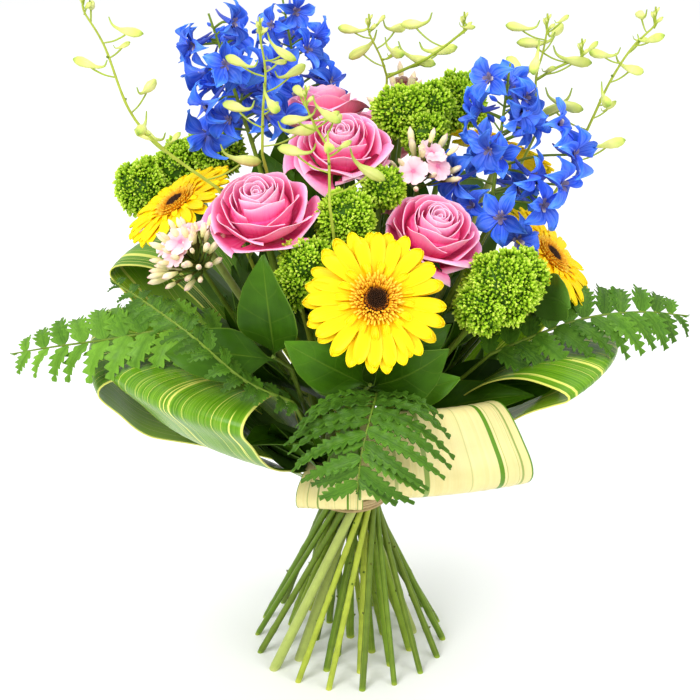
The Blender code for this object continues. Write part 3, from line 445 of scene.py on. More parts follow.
def moved(shape, place, axis, turn=0.0, size=1.0, tint=None):
    """A copy of a shape made round +Z, set down at a place with its +Z along an axis."""
    across, other = sides_of(axis)
    first = math.cos(turn) * across + math.sin(turn) * other
    second = math.cos(turn) * other - math.sin(turn) * across
    points = vector(place) + size * (shape[0] @ np.array((first, second, unit(axis))))
    marks = shape[2].copy()
    if tint is not None:
        marks[:, 2] = tint
    return points, shape[1], marks


def rose_petal(rim, height, spread, roll, draw):
    """One petal of a rose of radius 1, from its claw by the axis to its rolled and pointed rim."""
    v, u = leaf_grid(14, 11)
    belly = rim * 1.12 + 0.06
    radius = (1 - v) ** 2 * 0.12 + 2 * v * (1 - v) * belly + v * v * rim
    level = (1 - v) ** 2 * 0.04 + 2 * v * (1 - v) * height * 0.32 + v * v * height
    curl = np.clip((v - 0.66) / 0.34, 0, 1)
    side = np.abs(u)
    lip = roll * (0.62 + 0.75 * side - 0.35 * side * side)
    radius = radius + lip * curl ** 1.6 * 1.15 + 0.35 * roll * (1 - side) ** 3 * curl ** 3
    level = level - lip * 1.25 * curl ** 3.2
    level = level - (0.09 + 0.55 * roll) * u * u * v * v
    level = level + (0.012 + 0.10 * roll) * v * v * np.cos(4.4 * u + draw.uniform(0, 6))
    radius = radius * (1 + 0.10 * u * v) + 0.022 * v * v * np.sin(3.6 * u + draw.uniform(0, 6))
    angle = spread * u * (0.52 + 0.48 * np.sin(math.pi / 2 * np.minimum(1, v * 1.3)))
    return np.stack((radius * np.cos(angle), radius * np.sin(angle), level), axis=2), v, u


rose_bowl = tube(
    [(0, 0, 0.02), (0, 0, 0.12), (0, 0, 0.32), (0, 0, 0.52), (0, 0, 0.68)], [0.10, 0.42, 0.60, 0.62, 0.56],
    24, 0.5, (0.2, 0.5))
for number, (name, (place, facing, radius)) in enumerate(ROSES.items()):
    draw = random.Random(100 + number)
    petals = []
    turn = draw.uniform(0, 6)
    for layer, (count, rim, height, spread, roll) in enumerate(ROSE_WHORLS):
        turn += 0.75
        for step in range(count):
            grid, v, u = rose_petal(
                rim * draw.uniform(0.93, 1.07), height * draw.uniform(0.96, 1.03),
                spread * draw.uniform(0.92, 1.05), roll * draw.uniform(0.7, 1.3), draw)
            tint = 0.80 - 0.07 * layer + draw.uniform(-0.06, 0.06)
            petal = blade(grid * radius, (v, u, tint), 0.35)
            swing = turn + step * TURN / count + draw.uniform(-0.15, 0.15)
            petals.append(moved(petal, place, facing, swing))
    petals.append(moved((rose_bowl[0] * radius, *rose_bowl[1:]), place, facing))
    joined(name + "_flower", petals, ROSE_PETAL, name + "_petals", 60)

    facing = unit(facing)
    top = vector(place) - facing * 4.0
    shapes = stalk_shapes(stem_line(name + "_stem", top), (2.9, 2.6, 2.4, 2.3), 0.55, number, joints=40)
    cup = [top + facing * level for level in (-2, 0, 2.5, 3.7)]
    shapes.append(tube(cup, [2.4, 3.6, 5.2, 5.0], 12, 0.6))
    v, u = leaf_grid(8, 5)
    wide = 3.2 * np.interp(v, (0, 0.3, 1), (0.8, 1.0, 0.04)) * u
    level = 1.6 + 1.5 * np.sin(v * 2.2) - 8.5 * v * v + 0.8 * u * u
    sepal = blade(np.stack((3.0 + 15.0 * v, wide, level), axis=2), (v, u, 0.5), 0.5)
    shapes += [moved(sepal, top, facing, 0.628 + step * TURN / SEPALS) for step in range(SEPALS)]
    joined(name + "_green", shapes, STALK, name + "_stem")


# The gerberas
# Four yellow gerberas: two rows of strap-shaped rays with fine ribs, an inner frill of short
# golden florets and a chocolate middle, on a thick pale stem without leaves.
GERBERAS = {
    "gerbera_front": ((15, -116, 311), (0.12, -0.77, 0.63), 45),
    "gerbera_left": ((-108, -18, 334), (-0.52, -0.09, 0.85), 40),
    "gerbera_right": ((127, -14, 297), (0.70, -0.14, 0.70), 41),
    "gerbera_far_right": ((101, 62, 340), (0.38, 0.50, 0.78), 38),
}
# Each row of rays: how many, where they start, their reach as a share of the radius, and their level
RAY_ROWS = ((23, 8.0, 1.0, -1.2), (20, 8.0, 0.93, 0.5), (16, 12.0, 0.56, 1.4))
# Each row of florets: how many, where they start, their length, rise and tint
FLORET_ROWS = (
    (40, 11.6, 5.2, 3.0, 0.95), (48, 10.2, 3.6, 4.2, 0.84), (44, 8.6, 3.2, 4.6, 0.74),
    (38, 7.2, 2.6, 4.9, 0.66))
DISC_RADIUS = 6.8
DISC_BUDS = 150
BRACTS = 22
# Each ray deepens to orange towards the disc, as painted shade where the rays crowd at their base.
GERBERA_RAY = plant_finish(
    "gerbera_ray_skin", ((0.0, (0.85, 0.38, 0.0)), (0.3, (0.98, 0.60, 0.0)), (1.0, (1.0, 0.79, 0.01))),
    streak_colour=(0.95, 0.52, 0.0), streaks=5.0, streak_strength=0.3, mottle_strength=0.1,
    tint_strength=0.22, bump=0.0003, roughness=0.5, shine=0.2, glow=0.1)
GERBERA_CENTRE = plant_finish(
    "gerbera_centre_florets",
    ((0.0, (0.018, 0.008, 0.004)), (0.25, (0.07, 0.026, 0.008)), (0.45, (0.55, 0.18, 0.01)),
     (0.70, (0.92, 0.42, 0.01)), (1.0, (0.98, 0.70, 0.05))),
    mark="tint", streaks=3.0, streak_strength=0.0, tint_strength=0.0, mottle=500.0, mottle_strength=0.5,
    roughness=0.6)
GERBERA_STALK = plant_finish(
    "gerbera_stalk", ((0.0, (0.20, 0.30, 0.05)), (0.5, (0.36, 0.45, 0.09)), (1.0, (0.55, 0.58, 0.18))),
    mark="tint", streak_colour=(0.45, 0.52, 0.16), streaks=4.0, streak_strength=0.4, mottle=150.0,
    mottle_strength=0.45, tint_strength=0.0, roughness=0.5, sheen=0.3)


def gerbera_ray(start, length, half_width, lift, draw):
    """One ray from its claw by the disc to its rounded tip, with two sunk ribs along it."""
    rows = (0, 0.12, 0.26, 0.40, 0.54, 0.68, 0.80, 0.88, 0.94, 0.98, 1.0)
    v, u = np.meshgrid(rows, np.linspace(-1, 1, 7), indexing="ij")
    wide = half_width * np.interp(
        v, (0, 0.12, 0.45, 0.72, 0.86, 0.94, 0.98, 1.0), (0.36, 0.48, 0.82, 1.0, 0.88, 0.62, 0.34, 0.10))
    reach = start + (length - start) * v
    droop = draw.uniform(-1.0, 2.2)
    level = lift + 2.6 * np.sin(v * 2.4) - (1.2 + droop) * v ** 3 + 0.9 * u * u * v
    level = level - 0.34 * np.cos(3 * math.pi * u) * v + 0.5 * np.sin(v * 7 + draw.uniform(0, 6)) * v
    sway = draw.uniform(-1.6, 1.6) * v * v
    return np.stack((reach, wide * u + sway, level), axis=2), v, u


disc_bud = tube([(0, 0, 0), (0, 0, 1.4), (0, 0, 2.0)], [0.55, 0.62, 0.22], 5)
for number, (name, (place, facing, radius)) in enumerate(GERBERAS.items()):
    draw = random.Random(200 + number)
    rays = []
    for count, start, length, lift in RAY_ROWS:
        for step in range(count):
            half_width = radius * (0.104 if length > 0.6 else 0.05)
            grid, v, u = gerbera_ray(start, radius * length * draw.uniform(0.93, 1.0), half_width, lift, draw)
            ray = blade(grid, (v, u, draw.uniform(0.2, 0.8)), 0.4)
            turn = (step + draw.uniform(-0.18, 0.18)) * TURN / count + lift
            rays.append(moved(ray, place, facing, turn))
    joined(name + "_ray_ring", rays, GERBERA_RAY, name + "_rays", 60)

    v, u = leaf_grid(5, 3)
    centre = [tube([(0, 0, 0.6), (0, 0, 3.6), (0, 0, 4.4)], [9.0, 8.0, 5.0], 20, 0.05)]
    for count, start, length, rise, tint in FLORET_ROWS:
        for step in range(count):
            level = 2.2 + rise * np.sin(v * 1.7)
            grid = np.stack((start + length * v, 0.8 * u * (1 - 0.5 * v), level), axis=2)
            floret = blade(grid, (v, u, tint), 0.35)
            tints = tint + 0.32 * (floret[2][:, 0] - 0.5) + draw.uniform(-0.10, 0.06)
            floret[2][:, 2] = np.clip(tints, 0, 1)
            turn = (step + draw.uniform(-0.35, 0.35)) * TURN / count
            centre.append(moved(floret, (0, 0, 0), UP, turn, draw.uniform(0.90, 1.06)))
    for step in range(DISC_BUDS):
        share = math.sqrt((step + 0.5) / DISC_BUDS)
        out, turn = DISC_RADIUS * share, step * EVEN_TURN
        root = np.array((out * math.cos(turn), out * math.sin(turn), 3.8 + 0.8 * (1 - share ** 2)))
        tint = 0.10 + 0.35 * share ** 5 + draw.uniform(-0.05, 0.08)
        centre.append(moved(disc_bud, root, root * (0.04, 0.04, 1.0), 0.0, draw.uniform(0.85, 1.1), tint))
    centre = [moved(shape, place, facing, 0.0, radius / 45.0) for shape in centre]
    joined(name + "_centre", centre, GERBERA_CENTRE, name + "_disc")

    facing = unit(facing)
    top = vector(place) - facing * 7.0
    line = stem_line(name + "_stem", top)
    shapes = stalk_shapes(line, (3.6, 3.0, 2.6, 2.4), 0.55, 20 + number, joints=BARE, sides=14)
    cup = [top + facing * level for level in (-1.5, 1.5, 4.5, 6.2)]
    shapes.append(tube(cup, [2.4, 4.6, 8.2, 8.6], 18, 0.25))
    grid = np.stack((3.5 + 9.0 * v, 1.5 * u * (1 - 0.85 * v), -4.8 + 5.0 * v ** 0.7), axis=2)
    bract = blade(grid, (v, u, 0.2), 0.4)
    shapes += [moved(bract, place, facing, step * TURN / BRACTS) for step in range(BRACTS)]
    joined(name + "_stalk", shapes, GERBERA_STALK, name + "_stem")


# The green heads
# Six dense lime green heads. The buds are unopened and finer than a grain of rice, and they stand
# in small domed tufts over a branching stem that they hide. The dark gaps between the tufts are painted
# shade.
HEADS = {
    "head_front": (((20, -43, 355), 12.5), ((-2, -68, 343), 18)),
    "head_low": (((-26, -90, 322), 16), ((-34, -98, 312), 12)),
    "head_top": (((31, 22, 382), 16), ((50, 35, 380), 16), ((47, 8, 372), 14)),
    "head_right": (((92, -76, 302), 22), ((80, -86, 294), 16), ((104, -66, 306), 16)),
    "head_left": (((-136, 44, 322), 19), ((-112, 55, 333), 18), ((-88, 54, 346), 18)),
    "head_far_right": (((72, 86, 368), 19), ((58, 98, 360), 16)),
}
TUFT_RADIUS = 5.4
BUD_AREA = 5.0
DOME_EDGE = 0.12
HEAD_BUD = plant_finish(
    "lime_buds",
    ((0.0, (0.012, 0.05, 0.002)), (0.25, (0.11, 0.27, 0.006)), (0.5, (0.30, 0.54, 0.012)),
     (0.8, (0.56, 0.80, 0.05)), (1.0, (0.78, 0.93, 0.16))),
    mark="tint", streak_strength=0.0, mottle=400.0, mottle_strength=0.5, tint_strength=0.0, roughness=0.6,
    shine=0.2, glow=0.1)


def sphere_ways(count, start):
    """Directions spread evenly over a ball."""
    step = np.arange(count) + 0.5
    level = 1 - 2 * step / count
    turn = step * EVEN_TURN + start
    flat = np.sqrt(1 - level * level)
    return np.stack((flat * np.cos(turn), flat * np.sin(turn), level), axis=1)


def scattered(shape, places, axes, sizes, tints):
    """Many copies of one small shape made round +Z, as one shape."""
    axes = axes / np.linalg.norm(axes, axis=1)[:, None]
    guide = np.where(np.abs(axes[:, 2:3]) < 0.95, (0.0, 0.0, 1.0), (0.0, 1.0, 0.0))
    first = np.cross(guide, axes)
    first /= np.linalg.norm(first, axis=1)[:, None]
    second = np.cross(axes, first)
    points = places[:, None, :]
    for column, way in enumerate((first, second, axes)):
        points = points + (shape[0][None, :, column:column + 1] * sizes[:, None, None]) * way[:, None, :]
    count = len(shape[0])
    faces = [[corner + copy * count for corner in face] for copy in range(len(places)) for face in shape[1]]
    marks = np.tile(shape[2], (len(places), 1))
    marks[:, 2] = np.clip(np.repeat(tints, count) + marks[:, 2] - 0.5, 0, 1)
    return points.reshape(-1, 3), faces, marks


def head_core(place, radius):
    """The dark ball inside the tufts of a lobe, painted shade that darkens the gaps between the tufts."""
    bpy.ops.mesh.primitive_ico_sphere_add(subdivisions=3, radius=radius, location=place)
    core = bpy.context.object
    points = np.array([corner.co[:] for corner in core.data.vertices]) + place
    faces = [list(face.vertices) for face in core.data.polygons]
    bpy.data.objects.remove(core)
    return points, faces, np.tile((0.0, 0.0, 0.08, 0.0), (len(points), 1))


head_bud = tube([(0, 0, -1.6), (0, 0, 0.4), (0, 0, 1.6)], [0.4, 1.15, 0.34], 3)
# Each bud is painted dark at its foot and lighter at its tip, as painted shade among the crowded buds.
head_bud[2][:, 2] = np.repeat((0.0, 0.44, 0.72), 3)
for number, (name, lobes) in enumerate(HEADS.items()):
    draw = np.random.default_rng(300 + number)
    shapes = []
    for lobe, (place, size) in enumerate(lobes):
        place = vector(place)
        tufts = sphere_ways(int(4.6 * (size / TUFT_RADIUS) ** 2), lobe + number)
        tufts = tufts + draw.normal(0, 0.10, tufts.shape)
        tufts /= np.linalg.norm(tufts, axis=1)[:, None]
        dome = sphere_ways(int(4 * math.pi * TUFT_RADIUS ** 2 / BUD_AREA), lobe)
        for way in tufts:
            swell = 0.05 * math.sin(5 * way[0] + 4 * way[2] + number) + 0.04 * math.sin(7 * way[1] + lobe)
            middle = place + way * (size * (1 + swell) - TUFT_RADIUS * draw.uniform(0.6, 1.1))
            ways = dome[dome @ way > DOME_EDGE]
            ways = ways + draw.normal(0, 0.12, ways.shape)
            wide = TUFT_RADIUS * draw.uniform(0.85, 1.1)
            places = middle + ways * wide + draw.normal(0, 0.3, ways.shape)
            lean = (ways @ way - DOME_EDGE) / (1 - DOME_EDGE)
            keep = np.ones(len(ways), dtype=bool)
            for other, (other_place, other_size) in enumerate(lobes):
                if other != lobe:
                    keep &= np.linalg.norm(places - vector(other_place), axis=1) > other_size * 0.92
            # Buds high on a tuft get lighter tints and those low in the gaps darker ones, as painted light
            # and shade over the tufts.
            tints = 0.35 + 0.42 * lean + draw.normal(0, 0.09, len(ways))
            sizes = draw.uniform(0.8, 1.2, len(ways))
            axes = ways + way * 0.4
            shapes.append(scattered(head_bud, places[keep], axes[keep], sizes[keep], tints[keep]))
        shapes.append(head_core(place, size * 0.86))
    joined(name + "_buds", shapes, HEAD_BUD, name)
    middle = vector(lobes[0][0])
    top = middle - unit(middle - UP * WAIST_Z) * (lobes[0][1] - 6)
    stalk = stalk_shapes(stem_line(name, top), (2.4, 2.3, 2.1, 2.0), 0.45, 40 + number)
    joined(name + "_stalk", stalk, STALK, name)


# The delphiniums
# Three blue delphinium spikes. A floret has five ruffled sepals, a spur that rises behind it and a
# dark and cream bee in its middle, and closed buds stand at the tip of each spike.
DELPHINIUMS = {
    "delphinium_left": ((-62, 8, 366), (-86, 12, 444), 11, 0.6),
    "delphinium_right": ((88, -12, 318), (98, -8, 418), 12, 2.5),
    "delphinium_back": ((-30, 92, 350), (-44, 106, 428), 8, 1.0),
}
# Florets that hang out beside the right-hand spike on longer stalks
SIDE_FLORETS = ((130, 0, 380), (139, -8, 364), (131, -22, 349), (119, -28, 338), (104, -34, 317))
INNER_FLORETS = 7
CLOSED_FLORETS = 9
SEPAL_COUNT = 5
BEE_PETALS = 4
FLORET_RADIUS = 18.0
FLORET_STALK = 27.0
# The sepals run from a dark violet claw to light blue tips. The light blue at the tips is partly painted
# highlight.
DELPHINIUM_BLUE = plant_finish(
    "delphinium_sepal",
    ((0.0, (0.14, 0.14, 0.50)), (0.22, (0.018, 0.055, 0.50)), (0.60, (0.018, 0.11, 0.74)),
     (1.0, (0.08, 0.30, 0.98))),
    streak_colour=(0.16, 0.28, 0.95), streaks=6.0, streak_strength=0.5, mottle=110.0, mottle_strength=0.7,
    tint_strength=1.0, bump=0.0003, roughness=0.5, shine=0.2, glow=0.05)
DELPHINIUM_BEE = plant_finish(
    "delphinium_bee", ((0.0, (0.03, 0.015, 0.08)), (0.5, (0.16, 0.10, 0.26)), (1.0, (0.80, 0.74, 0.62))),
    mark="tint", tint_strength=0.0, roughness=0.6)


def ruffled_sepal(draw):
    """A broad sepal of length 1 along +X, from a narrow claw to a blunt point."""
    v, u = leaf_grid(11, 7)
    wide = draw.uniform(0.28, 0.40) * np.interp(v, (0, 0.12, 0.35, 0.58, 0.82, 1.0),
                                                (0.14, 0.30, 0.86, 1.0, 0.52, 0.03))
    rise = draw.uniform(-0.05, 0.65) * v + 0.12 * np.sin(v * 2.6) - draw.uniform(0.0, 0.65) * v ** 3
    rise = rise + draw.uniform(0.02, 0.40) * u * u * np.sin(v * math.pi)
    rise = rise + 0.09 * u * np.sin(v * 7 + draw.uniform(0, 6))
    rise = rise + 0.07 * np.cos(u * 4 + v * 6 + draw.uniform(0, 6)) * v
    return np.stack((v * 1.04, wide * u + 0.22 * draw.uniform(-1, 1) * v * v, rise), axis=2), v, u


def delphinium_floret(middle, facing, size, turn, draw):
    """One floret, as the shapes of its blue parts and those of its bee."""
    blue, bees = [], []
    for petal in range(SEPAL_COUNT):
        grid, v, u = ruffled_sepal(draw)
        sepal = blade(grid * size, (v, u, draw.uniform(0.15, 0.9)), 0.3)
        swing = turn + petal * TURN / SEPAL_COUNT + draw.uniform(-0.15, 0.15)
        blue.append(moved(sepal, middle, facing, swing))
    bends = [middle - facing * size * back + UP * size * up
             for back, up in ((0, 0), (0.25, 0.10), (0.55, 0.26), (0.82, 0.46))]
    bends[-1] = bends[-1] + sides_of(facing)[0] * 1.5
    spur = smooth_line(bends, 2.0)
    blue.append(tube(spur, np.linspace(2.0, 0.5, len(spur)), 7, 0.3, (0.3, 0.0)))
    v, u = leaf_grid(4, 3)
    for petal in range(BEE_PETALS):
        grid = np.stack((0.26 * v, 0.10 * u * np.sin(0.4 + v * 2.2), 0.06 + 0.26 * v - 0.10 * v * v), axis=2)
        bee = blade(grid * size, (v, u, 0.5), 0.3)
        bee[2][:, 2] = bee[2][:, 0] * (0.9 if petal == 0 else 0.4)
        bees.append(moved(bee, middle, facing, turn + 0.6 + petal * TURN / BEE_PETALS))
    return blue, bees


closed_floret = tube(
    [(0, 0, -1), (0, 0, 1), (0, 0, 4), (0, 0, 7), (0, 0, 9.5)], [0.5, 1.6, 2.6, 1.9, 0.3], 8)
for number, (name, (foot, tip, florets, first_turn)) in enumerate(DELPHINIUMS.items()):
    draw = random.Random(400 + number)
    foot, tip = vector(foot), vector(tip)
    rise = tip - foot
    across, other = sides_of(rise)
    line = np.concatenate((stem_line(name, foot), [foot + rise * 0.5, tip + unit(rise) * 5]))
    green = stalk_shapes(line, (2.7, 2.5, 2.3, 2.1, 1.4, 0.7), 0.6, 60 + number)
    blue, bees = [], []
    for step in range(florets):
        share = step / (florets - 1)
        turn = first_turn + step * NEXT_TURN
        outward = math.cos(turn) * across + math.sin(turn) * other
        size = FLORET_RADIUS * (1.0 - 0.25 * share) * draw.uniform(0.95, 1.1)
        root = foot + rise * (share * 0.92 + 0.02)
        facing = unit(outward + 0.15 * unit(rise))
        middle = root + facing * FLORET_STALK * (1.0 - 0.45 * share)
        look = facing + vector((draw.uniform(-0.5, 0.5), draw.uniform(-0.5, 0.5), draw.uniform(-0.5, 0.2)))
        look = unit(look)
        petals, eyes = delphinium_floret(middle, look, size, step * 1.1, draw)
        blue += petals
        bees += eyes
        arc = smooth_line([root, (root + middle) / 2 + UP * 2.0, middle - look * 1.0], 3.0)
        green.append(tube(arc, np.linspace(0.8, 0.9, len(arc)), 6, 0.42))
    for step in range(INNER_FLORETS):
        turn = first_turn + 1.2 + step * NEXT_TURN
        outward = unit(math.cos(turn) * across + math.sin(turn) * other + 0.3 * unit(rise))
        root = foot + rise * (0.85 * (step + 0.3) / INNER_FLORETS + 0.06)
        middle = root + outward * 14.0
        petals, eyes = delphinium_floret(middle, outward, FLORET_RADIUS * 0.78, step * 1.7, draw)
        blue += petals
        bees += eyes
        green.append(tube([root, middle - outward], 0.8, 6, 0.42))
    for step, middle in enumerate(SIDE_FLORETS if name == "delphinium_right" else ()):
        middle = vector(middle)
        root = foot + rise * np.clip((middle[2] - foot[2] - 8) / rise[2], 0.0, 0.9)
        look = unit(middle - root + vector((0, -26, 4)))
        petals, eyes = delphinium_floret(middle, look, FLORET_RADIUS * 0.95, step * 1.3, draw)
        blue += petals
        bees += eyes
        arc = smooth_line([root, (root + middle) / 2 + UP * 3.0, middle - look * 1.0], 3.0)
        green.append(tube(arc, np.linspace(0.9, 0.8, len(arc)), 6, 0.42))
    for step in range(CLOSED_FLORETS):
        turn = first_turn + 1.2 + step * NEXT_TURN
        outward = math.cos(turn) * across + math.sin(turn) * other + 0.6 * unit(rise)
        root = foot + rise * (0.50 + 0.055 * step)
        seat = root + unit(outward) * (11.0 - step)
        blue.append(moved(closed_floret, seat, outward, turn, 0.95 - 0.06 * step, draw.uniform(0.3, 0.9)))
        green.append(tube([root, seat], 0.6, 5))
    joined(name + "_florets", blue, DELPHINIUM_BLUE, name, 60)
    joined(name + "_bees", bees, DELPHINIUM_BEE, name, 60)
    joined(name + "_stalk", green, STALK, name)


# The bud sprays
# Six wiry sprays of pale yellow-green buds. A bud hangs on an arched thread of a stalk, plump and
# grooved in front, with a curved spur that stands up behind it.
BUD_SPRAYS = {
    "bud_spray_far_left": (
        ((-80, -44, 354), (-114, -42, 380), (-133, -40, 403), (-146, -40, 443), (-157, -40, 464)),),
    "bud_spray_left": (((-54, -30, 372), (-53, -30, 400), (-51, -30, 424), (-54, -30, 446)),),
    "bud_spray_front": (((-12, -91, 362), (-13, -78, 390), (-20, -70, 402), (-26, -70, 416)),),
    "bud_spray_fork": (
        ((24, 52, 396), (20, 48, 410), (12, 44, 428)), ((24, 52, 396), (50, 42, 412), (72, 34, 432))),
    "bud_spray_right": (
        ((120, 18, 372), (118, 26, 402), (122, 30, 418), (124, 30, 432)),
        ((118, 26, 402), (132, 28, 410), (146, 26, 417))),
    "bud_spray_far_right": (
        ((141, 28, 338), (155, 24, 377), (165, 22, 403), (177, 20, 425), (190, 20, 439)),),
}
TIP_BUDS = 4
BUD_SIDES = 12
BUD_SKIN = plant_finish(
    "pale_bud",
    ((0.0, (0.22, 0.36, 0.03)), (0.25, (0.50, 0.58, 0.12)), (0.6, (0.76, 0.78, 0.27)),
     (0.9, (0.58, 0.66, 0.14)), (1.0, (0.20, 0.36, 0.03))),
    streak_colour=(0.45, 0.55, 0.10), streaks=3.0, streak_strength=0.45, mottle=260.0, mottle_strength=0.3,
    tint_strength=0.4, roughness=0.55, glow=0.1)


def spurred_bud(root, outward, reach, length, hang, tint):
    """A bud's long thread of a stalk and its grooved body, with the thin spur curved up behind it."""
    facing = unit(outward + UP * hang)
    middle = root + outward * reach + UP * reach * 0.5
    bow = smooth_line([root, root + outward * reach * 0.42 + UP * reach * 0.10,
                       root + outward * reach * 0.80 + UP * reach * 0.30, middle - UP * length * 0.04], 2.0)
    body = smooth_line([middle + facing * length * ahead + UP * length * up for ahead, up in (
        (-0.80, 0.46), (-0.66, 0.16), (-0.35, 0.02), (0, 0), (0.36, 0), (0.64, 0))], 1.2)
    shares = np.linspace(0, 1, len(body))
    radii = length * np.interp(
        shares, (0, 0.2, 0.42, 0.6, 0.78, 0.92, 1.0), (0.025, 0.045, 0.08, 0.17, 0.20, 0.14, 0.03))
    points, faces, marks = tube(body, radii, BUD_SIDES, tint)
    turns = np.tile(np.linspace(0, TURN, BUD_SIDES, endpoint=False), len(body))
    spine = np.repeat(body, BUD_SIDES, axis=0)
    groove = 1 + 0.16 * np.cos(3 * turns) * np.repeat(shares, BUD_SIDES)
    points = spine + (points - spine) * groove[:, None]
    return tube(bow, np.linspace(0.5, 0.65, len(bow)), 6, 0.75), (points, faces, marks)


tip_bud = tube([(0, 0, -2), (0, 0, 0), (0, 0, 2.5), (0, 0, 4.6)], [0.5, 1.3, 1.5, 0.3], 8, 0.6)
for number, (name, branches) in enumerate(BUD_SPRAYS.items()):
    draw = random.Random(number)
    wire, buds = [], []
    for branch_number, branch in enumerate(branches):
        path = [vector(point) for point in branch]
        path += [path[-1] + UP * 6, path[-1] + UP * 12]
        arc = smooth_line(path, 4.0)
        if branch_number == 0:
            line = np.concatenate((stem_line(name, path[0]), arc[1:]))
            wire += stalk_shapes(line, (2.1, 2.0, 1.9, 1.5, 1.1, 0.9, 0.6), 0.8, 80 + number, 26, 10)
        else:
            wire.append(tube(arc, np.linspace(1.1, 0.6, len(arc)), 8, 0.75))
        legs = len(branch) - 1
        many = 2 if branch_number else (5 if len(branches) > 1 else 7)
        for step in range(many):
            share = (step + 0.4) / many * legs
            leg = min(int(share), legs - 1)
            way = path[leg + 1] - path[leg]
            turn = step * NEXT_TURN + draw.uniform(-0.4, 0.4)
            outward = unit((math.cos(turn), 0.7 * math.sin(turn), 0.0))
            reach = draw.uniform(17.0, 25.0) * (1 - 0.07 * step)
            pairs = [spurred_bud(path[leg] + way * (share - leg), outward, reach, 17.5 - 0.6 * step,
                                 draw.uniform(-0.7, 0.5), draw.uniform(0.2, 0.8))]
            if step % 3 == 1:
                outward = unit((math.cos(turn + 3.4), 0.7 * math.sin(turn + 3.4), 0.3))
                pairs.append(spurred_bud(
                    path[leg] + way * min(share - leg + 0.3, 1.0), outward, draw.uniform(7.0, 11.0),
                    draw.uniform(7.5, 10.5), draw.uniform(-0.3, 0.8), draw.uniform(0.2, 0.8)))
            for thread, bud in pairs:
                wire.append(thread)
                buds.append(bud)
        end = path[-1] - UP * 3.0
        for step in range(TIP_BUDS):
            turn = step * 2.1
            lean = np.array((math.cos(turn), math.sin(turn), 0.9 + 0.4 * step))
            seat = end + lean * (2.0 - 0.3 * step) - UP * (8 - 2.0 * step)
            buds.append(moved(tip_bud, seat, lean, turn, 0.9 - 0.1 * step, 0.5))
            wire.append(tube([end - UP * (11 - 2.0 * step), seat], 0.5, 5, 0.7))
    joined(name + "_buds", buds, BUD_SKIN, name, 60)
    joined(name + "_wire", wire, STALK, name)


# The phlox
# Three clusters of phlox: pale pink flowers of five lobes on a slender tube, many furled cream and
# pink buds, and the narrow dark green cups that hold them all.
PHLOXES = {
    "phlox_left": ((-104, -84, 338), (-0.45, -0.45, 0.77), 4, 44),
    "phlox_right": ((50, -27, 374), (0.3, -0.35, 0.9), 3, 14),
    "phlox_back": ((38, 74, 389), (0.1, 0.5, 0.86), 3, 14),
}
PHLOX_LOBES = 5
PHLOX_PETAL = plant_finish(
    "phlox_petal_skin",
    ((0.0, (0.72, 0.12, 0.28)), (0.22, (0.86, 0.36, 0.46)), (0.55, (0.90, 0.56, 0.62)),
     (1.0, (0.94, 0.74, 0.76))),
    streak_colour=(0.88, 0.45, 0.55), streaks=5.0, streak_strength=0.3, mottle=200.0, mottle_strength=0.25,
    tint_strength=0.3, roughness=0.55, sheen=0.1, glow=0.15)
PHLOX_BUD = plant_finish(
    "phlox_bud_skin",
    ((0.0, (0.34, 0.42, 0.06)), (0.35, (0.80, 0.76, 0.32)), (0.75, (0.93, 0.82, 0.52)),
     (1.0, (0.88, 0.56, 0.50))),
    streak_colour=(0.85, 0.50, 0.46), streaks=3.0, streak_strength=0.2, mottle_strength=0.2,
    tint_strength=0.4, roughness=0.55, glow=0.1)

